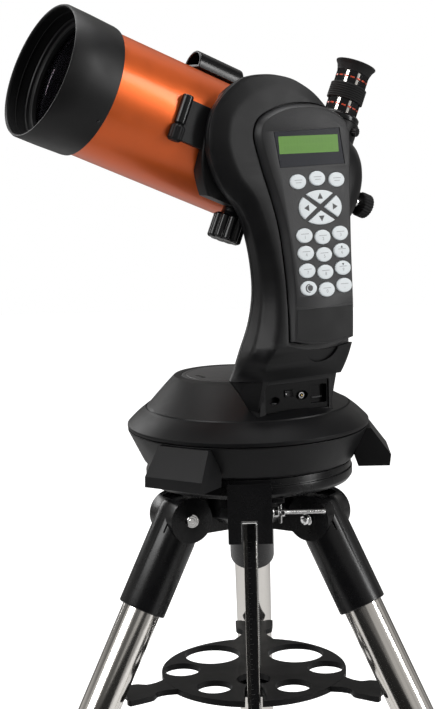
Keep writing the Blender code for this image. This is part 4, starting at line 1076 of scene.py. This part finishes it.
def finder():
    turns = [radians(a) for a in range(0, 181, 5)]
    low = 59.8
    outer = [(14.5, low)] + [(14.5 * cos(a), low + 2 + 15 * sin(a)) for a in turns] + [(-14.5, low)]
    turn = Matrix(((0, 0, 1, 0), (1, 0, 0, 0), (0, 1, 0, 0), (0, 0, 0, 1)))
    here = OPTICAL_AXIS
    sight = place("finder_body", moved(slab(outer, 34, 84), turn), SMOOTH, "tube", here, "finder", 0.8,
        3, 35)
    cut(sight, bore(TUBE_R + 0.3, 0, 120, 160), here)
    opening = [(11.8 * cos(a), low + 3 + 11.8 * sin(a)) for a in turns]
    cut(sight, moved(slab(opening, 56, 100), turn), here)
    pane = [(x * 0.99, y) for x, y in opening]
    place("finder_lens", moved(slab(pane, 60, 61.5), turn), AMBER, "tube", here, bevel=0.2)
    for s in (40, 47):
        wheel = moved(fluted(4.2, 0.4, 20, -1.6, 1.6, 0.3), TO_X)
        place(f"finder_wheel_{round(s)}", wheel, SMOOTH, "tube", here @ at(s, -12.5, low + 7))


def dovetail():
    made = place("dovetail_rail", block((-60, 50, -19), (111, 65.5, 19)), BLACK, "tube", TUBE, "dovetail_bar",
        1, 3, 35)
    cut(made, bore(TUBE_R + 0.3, -100, 150, 160), OPTICAL_AXIS)
    cut(made, block((-61, 56, -30), (80, 58, -17.2)), TUBE)
    post = turned_piece([(0, -5), (5, -5), (5.4, -4), (5.4, 20.5), (4.8, 22), (0, 22)], 0.8)
    place("dovetail_stop_post", post, SMOOTH, "tube", TUBE @ at(107.2, 63, 0))
    knob = fluted(7, 0.6, 8, -21.5, -6.2, 2)
    place("dovetail_stop_knob", knob, BLACK, "tube", TUBE @ at(107.3, 63, 0), bevel=0.3)
    neck = turned_piece([(0, -6.4), (4.2, -6.4), (4.2, -4.8), (0, -4.8)], 0.2)
    place("dovetail_stop_neck", neck, INSIDE, "tube", TUBE @ at(107.2, 63, 0))


def inside():
    flange = TUBE_BACK + 0.3
    profile = [(13.5, flange), (57.2, flange), (57.2, flange + 3), (15.5, flange + 3), (15.5, 30), (13.5, 30)]
    tube_in = place("baffle", lathe(profile, True), INSIDE, "tube", ALONG_TUBE, "baffle_tube", 0.3)
    cut(tube_in, bore(3.4, TUBE_BACK - 10, TUBE_BACK + 10), TUBE @ at(0, FOCUS_Y + TUBE_Y, 0))
    back = TUBE_BACK + 12.5
    curve = [(15.8 + 37.2 * i / 10, back + 8 + 3 * (i / 10) ** 2) for i in range(10, -1, -1)]
    place("main_mirror", turned_piece([(15.8, back), (53, back)] + curve, 0.3, True), MIRROR, "mirror", ALONG_TUBE,
        "primary_mirror")
    here = TUBE @ at(0, FOCUS_Y + TUBE_Y, 0) @ TO_X
    place("focus_grip", fluted(12.2, 0.8, 24, -134.5, -122.6, 1.4), RUBBER, "focus", here, "focus_knob",
        0.2)
    stem = turned_piece([(0, -123), (5.2, -123), (5, -116), (3, -116), (3, TUBE_BACK + 7), (0, TUBE_BACK + 7)], 0.2)
    place("focus_stem", stem, BRIGHT, "focus", here)
    hinge = TUBE @ at(-89, TUBE_Y, 0)
    place("flip_shaft", rod(3, -63, 12), BRIGHT, "flip", hinge @ TO_Y, bevel=0.3)
    plate = block((-15, -12, -1.5), (15, 12.5, 1.5))
    place("flip_glass", plate, MIRROR, "flip", hinge @ turned(0, radians(45), 0), "flip_mirror", 0.3)
    grip = fluted(9.5, 0.8, 16, -70, -62.2, 0.8)
    place("flip_grip", grip, SMOOTH, "flip", hinge @ turned(-pi / 2, 0, 0), bevel=0.2)
    mark = block((-0.4, 2, -70.06), (0.4, 8.4, -69.8))
    place("flip_mark", mark, WHITE_MARK, "flip", hinge @ turned(-pi / 2, 0, 0), smooth=False)


tripod_head()
for index, leg_heading in enumerate(LEG_HEADINGS, 1):
    leg(index, leg_heading)
accessory_tray()
wedge()
scale_bar()
lock_rod()
housing()
base_gear()
turntable()
arm_outer()
arm_inner()
ports()
altitude_wheel()
saddle()
handset()
front_cell()
lens()
tube()
rear_cell()
eyepiece()
finder()
dovetail()
inside()


# Studio ----------------------------------------------------------------------------------------


def matt(name, level):
    return principled(name, {"Base Color": (level, level, level, 1), "Roughness": 0.9, "Specular IOR Level": 0.1,
        "Emission Color": (1, 1, 1, 1)})


def staged(name, data, where, facing, forward):
    """A studio object that turns one of its axes to a point."""
    made = added(name, data)
    made.location = where
    if facing:
        made.rotation_euler = (Vector(facing) - Vector(where)).to_track_quat(forward, "Y").to_euler()
    return made


def sheet(name, width, depth, where, finish, facing=None):
    mesh = meshed(name, flat(width / 2, depth / 2))
    mesh.materials.append(finish)
    return staged(name, mesh, where, facing, "Z")


def flat(half_width, half_depth):
    bm = bmesh.new()
    bm.faces.new([bm.verts.new((x * half_width, y * half_depth, 0)) for x, y in ((-1, -1), (1, -1), (1, 1), (-1, 1))])
    return bm


def softbox(name, where, facing, size, power):
    lamp = bpy.data.lights.new(name, "AREA")
    lamp.shape = "RECTANGLE"
    lamp.size, lamp.size_y = size
    lamp.energy = power
    staged(name, lamp, where, facing, "-Z")


PALE_REACH = 0.65
WHITE_REACH = 1.2
STRIPS = (("key", (-1.9, -1.6, 2.3), (0, 0, 0.95), (1.7, 1.5), 50),
    ("top", (0.1, 0.2, 2.9), (0, -0.1, 0.9), (1.6, 1.2), 34),
    ("right", (2.2, -0.9, 1.5), (0, 0, 0.8), (0.5, 1.8), 34), ("rim", (-1.6, 1.5, 1.7), (0, 0, 1), (0.8, 1.4), 12))


def studio():
    """A floor that glows white far out, a black flag for reflections, four softboxes and a mottled room."""
    pale = matt("floor_pale", 0.62)
    tree = pale.node_tree
    reach = tree.nodes.new("ShaderNodeVectorMath")
    reach.operation = "LENGTH"
    tree.links.new(node(tree, "TexCoord")["Object"], reach.inputs[0])
    fade = remap(tree, reach.outputs["Value"], PALE_REACH, WHITE_REACH, interpolation_type="SMOOTHSTEP")
    seen = node(tree, "LightPath")["Is Camera Ray"]
    glow = node(tree, "Math", {0: fade, 1: seen}, operation="MULTIPLY")["Value"]
    wire(tree, tree.nodes["Principled BSDF"], {"Emission Strength": glow})
    sheet("floor", 14, 14, (0, 0, -0.0005), pale)
    flag = sheet("flag", 2.4, 1.1, (-0.2, -1.15, 0.32), matt("flag_black", 0.01), (0, 0, 0.75))
    flag.visible_camera = flag.visible_diffuse = flag.visible_shadow = False
    for strip in STRIPS:
        softbox(*strip)
    world = bpy.data.worlds.new("studio")
    bpy.context.scene.world = world
    world.use_nodes = True
    tree = world.node_tree
    wire(tree, tree.nodes["Background"], {"Color": (1, 1, 1, 1), "Strength": 1.0})
    room = node(tree, "TexCoord")["Generated"]
    patches = node(tree, "TexNoise", {"Scale": 2.2, "Detail": 1.0, "Vector": room})["Fac"]
    levels = remap(tree, patches, 0.42, 0.58, 0.08, 0.48)
    dim = node(tree, "Background", {"Color": (1.0, 0.98, 0.95, 1), "Strength": levels})["Background"]
    seen = node(tree, "LightPath")["Is Camera Ray"]
    both = node(tree, "MixShader", {"Fac": seen, 1: dim, 2: tree.nodes["Background"].outputs["Background"]})
    wire(tree, tree.nodes["World Output"], {"Surface": both["Shader"]})
    bpy.context.scene.view_settings.view_transform = "Standard"


CAMERA_AT = (0.01543, -1.71979, 1.12888)
CAMERA_YAW = -0.0273
CAMERA_PITCH = -0.1552
CAMERA_ROLL = -0.027
FOCAL_LENGTH = 83.9
SENSOR_WIDTH = 36


def camera():
    yaw, pitch, roll = CAMERA_YAW, CAMERA_PITCH, CAMERA_ROLL
    ahead = Vector((sin(yaw) * cos(pitch), cos(yaw) * cos(pitch), sin(pitch)))
    right = Vector((cos(yaw), -sin(yaw), 0))
    up = right.cross(ahead)
    side = right * cos(roll) + up * sin(roll)
    top = up * cos(roll) - right * sin(roll)
    lens_data = bpy.data.cameras.new("camera")
    lens_data.lens = FOCAL_LENGTH
    lens_data.sensor_width = SENSOR_WIDTH
    facing = Matrix((side, top, -ahead)).transposed().to_4x4()
    bpy.context.scene.camera = added("camera", lens_data, at(*CAMERA_AT) @ facing)


studio()
camera()
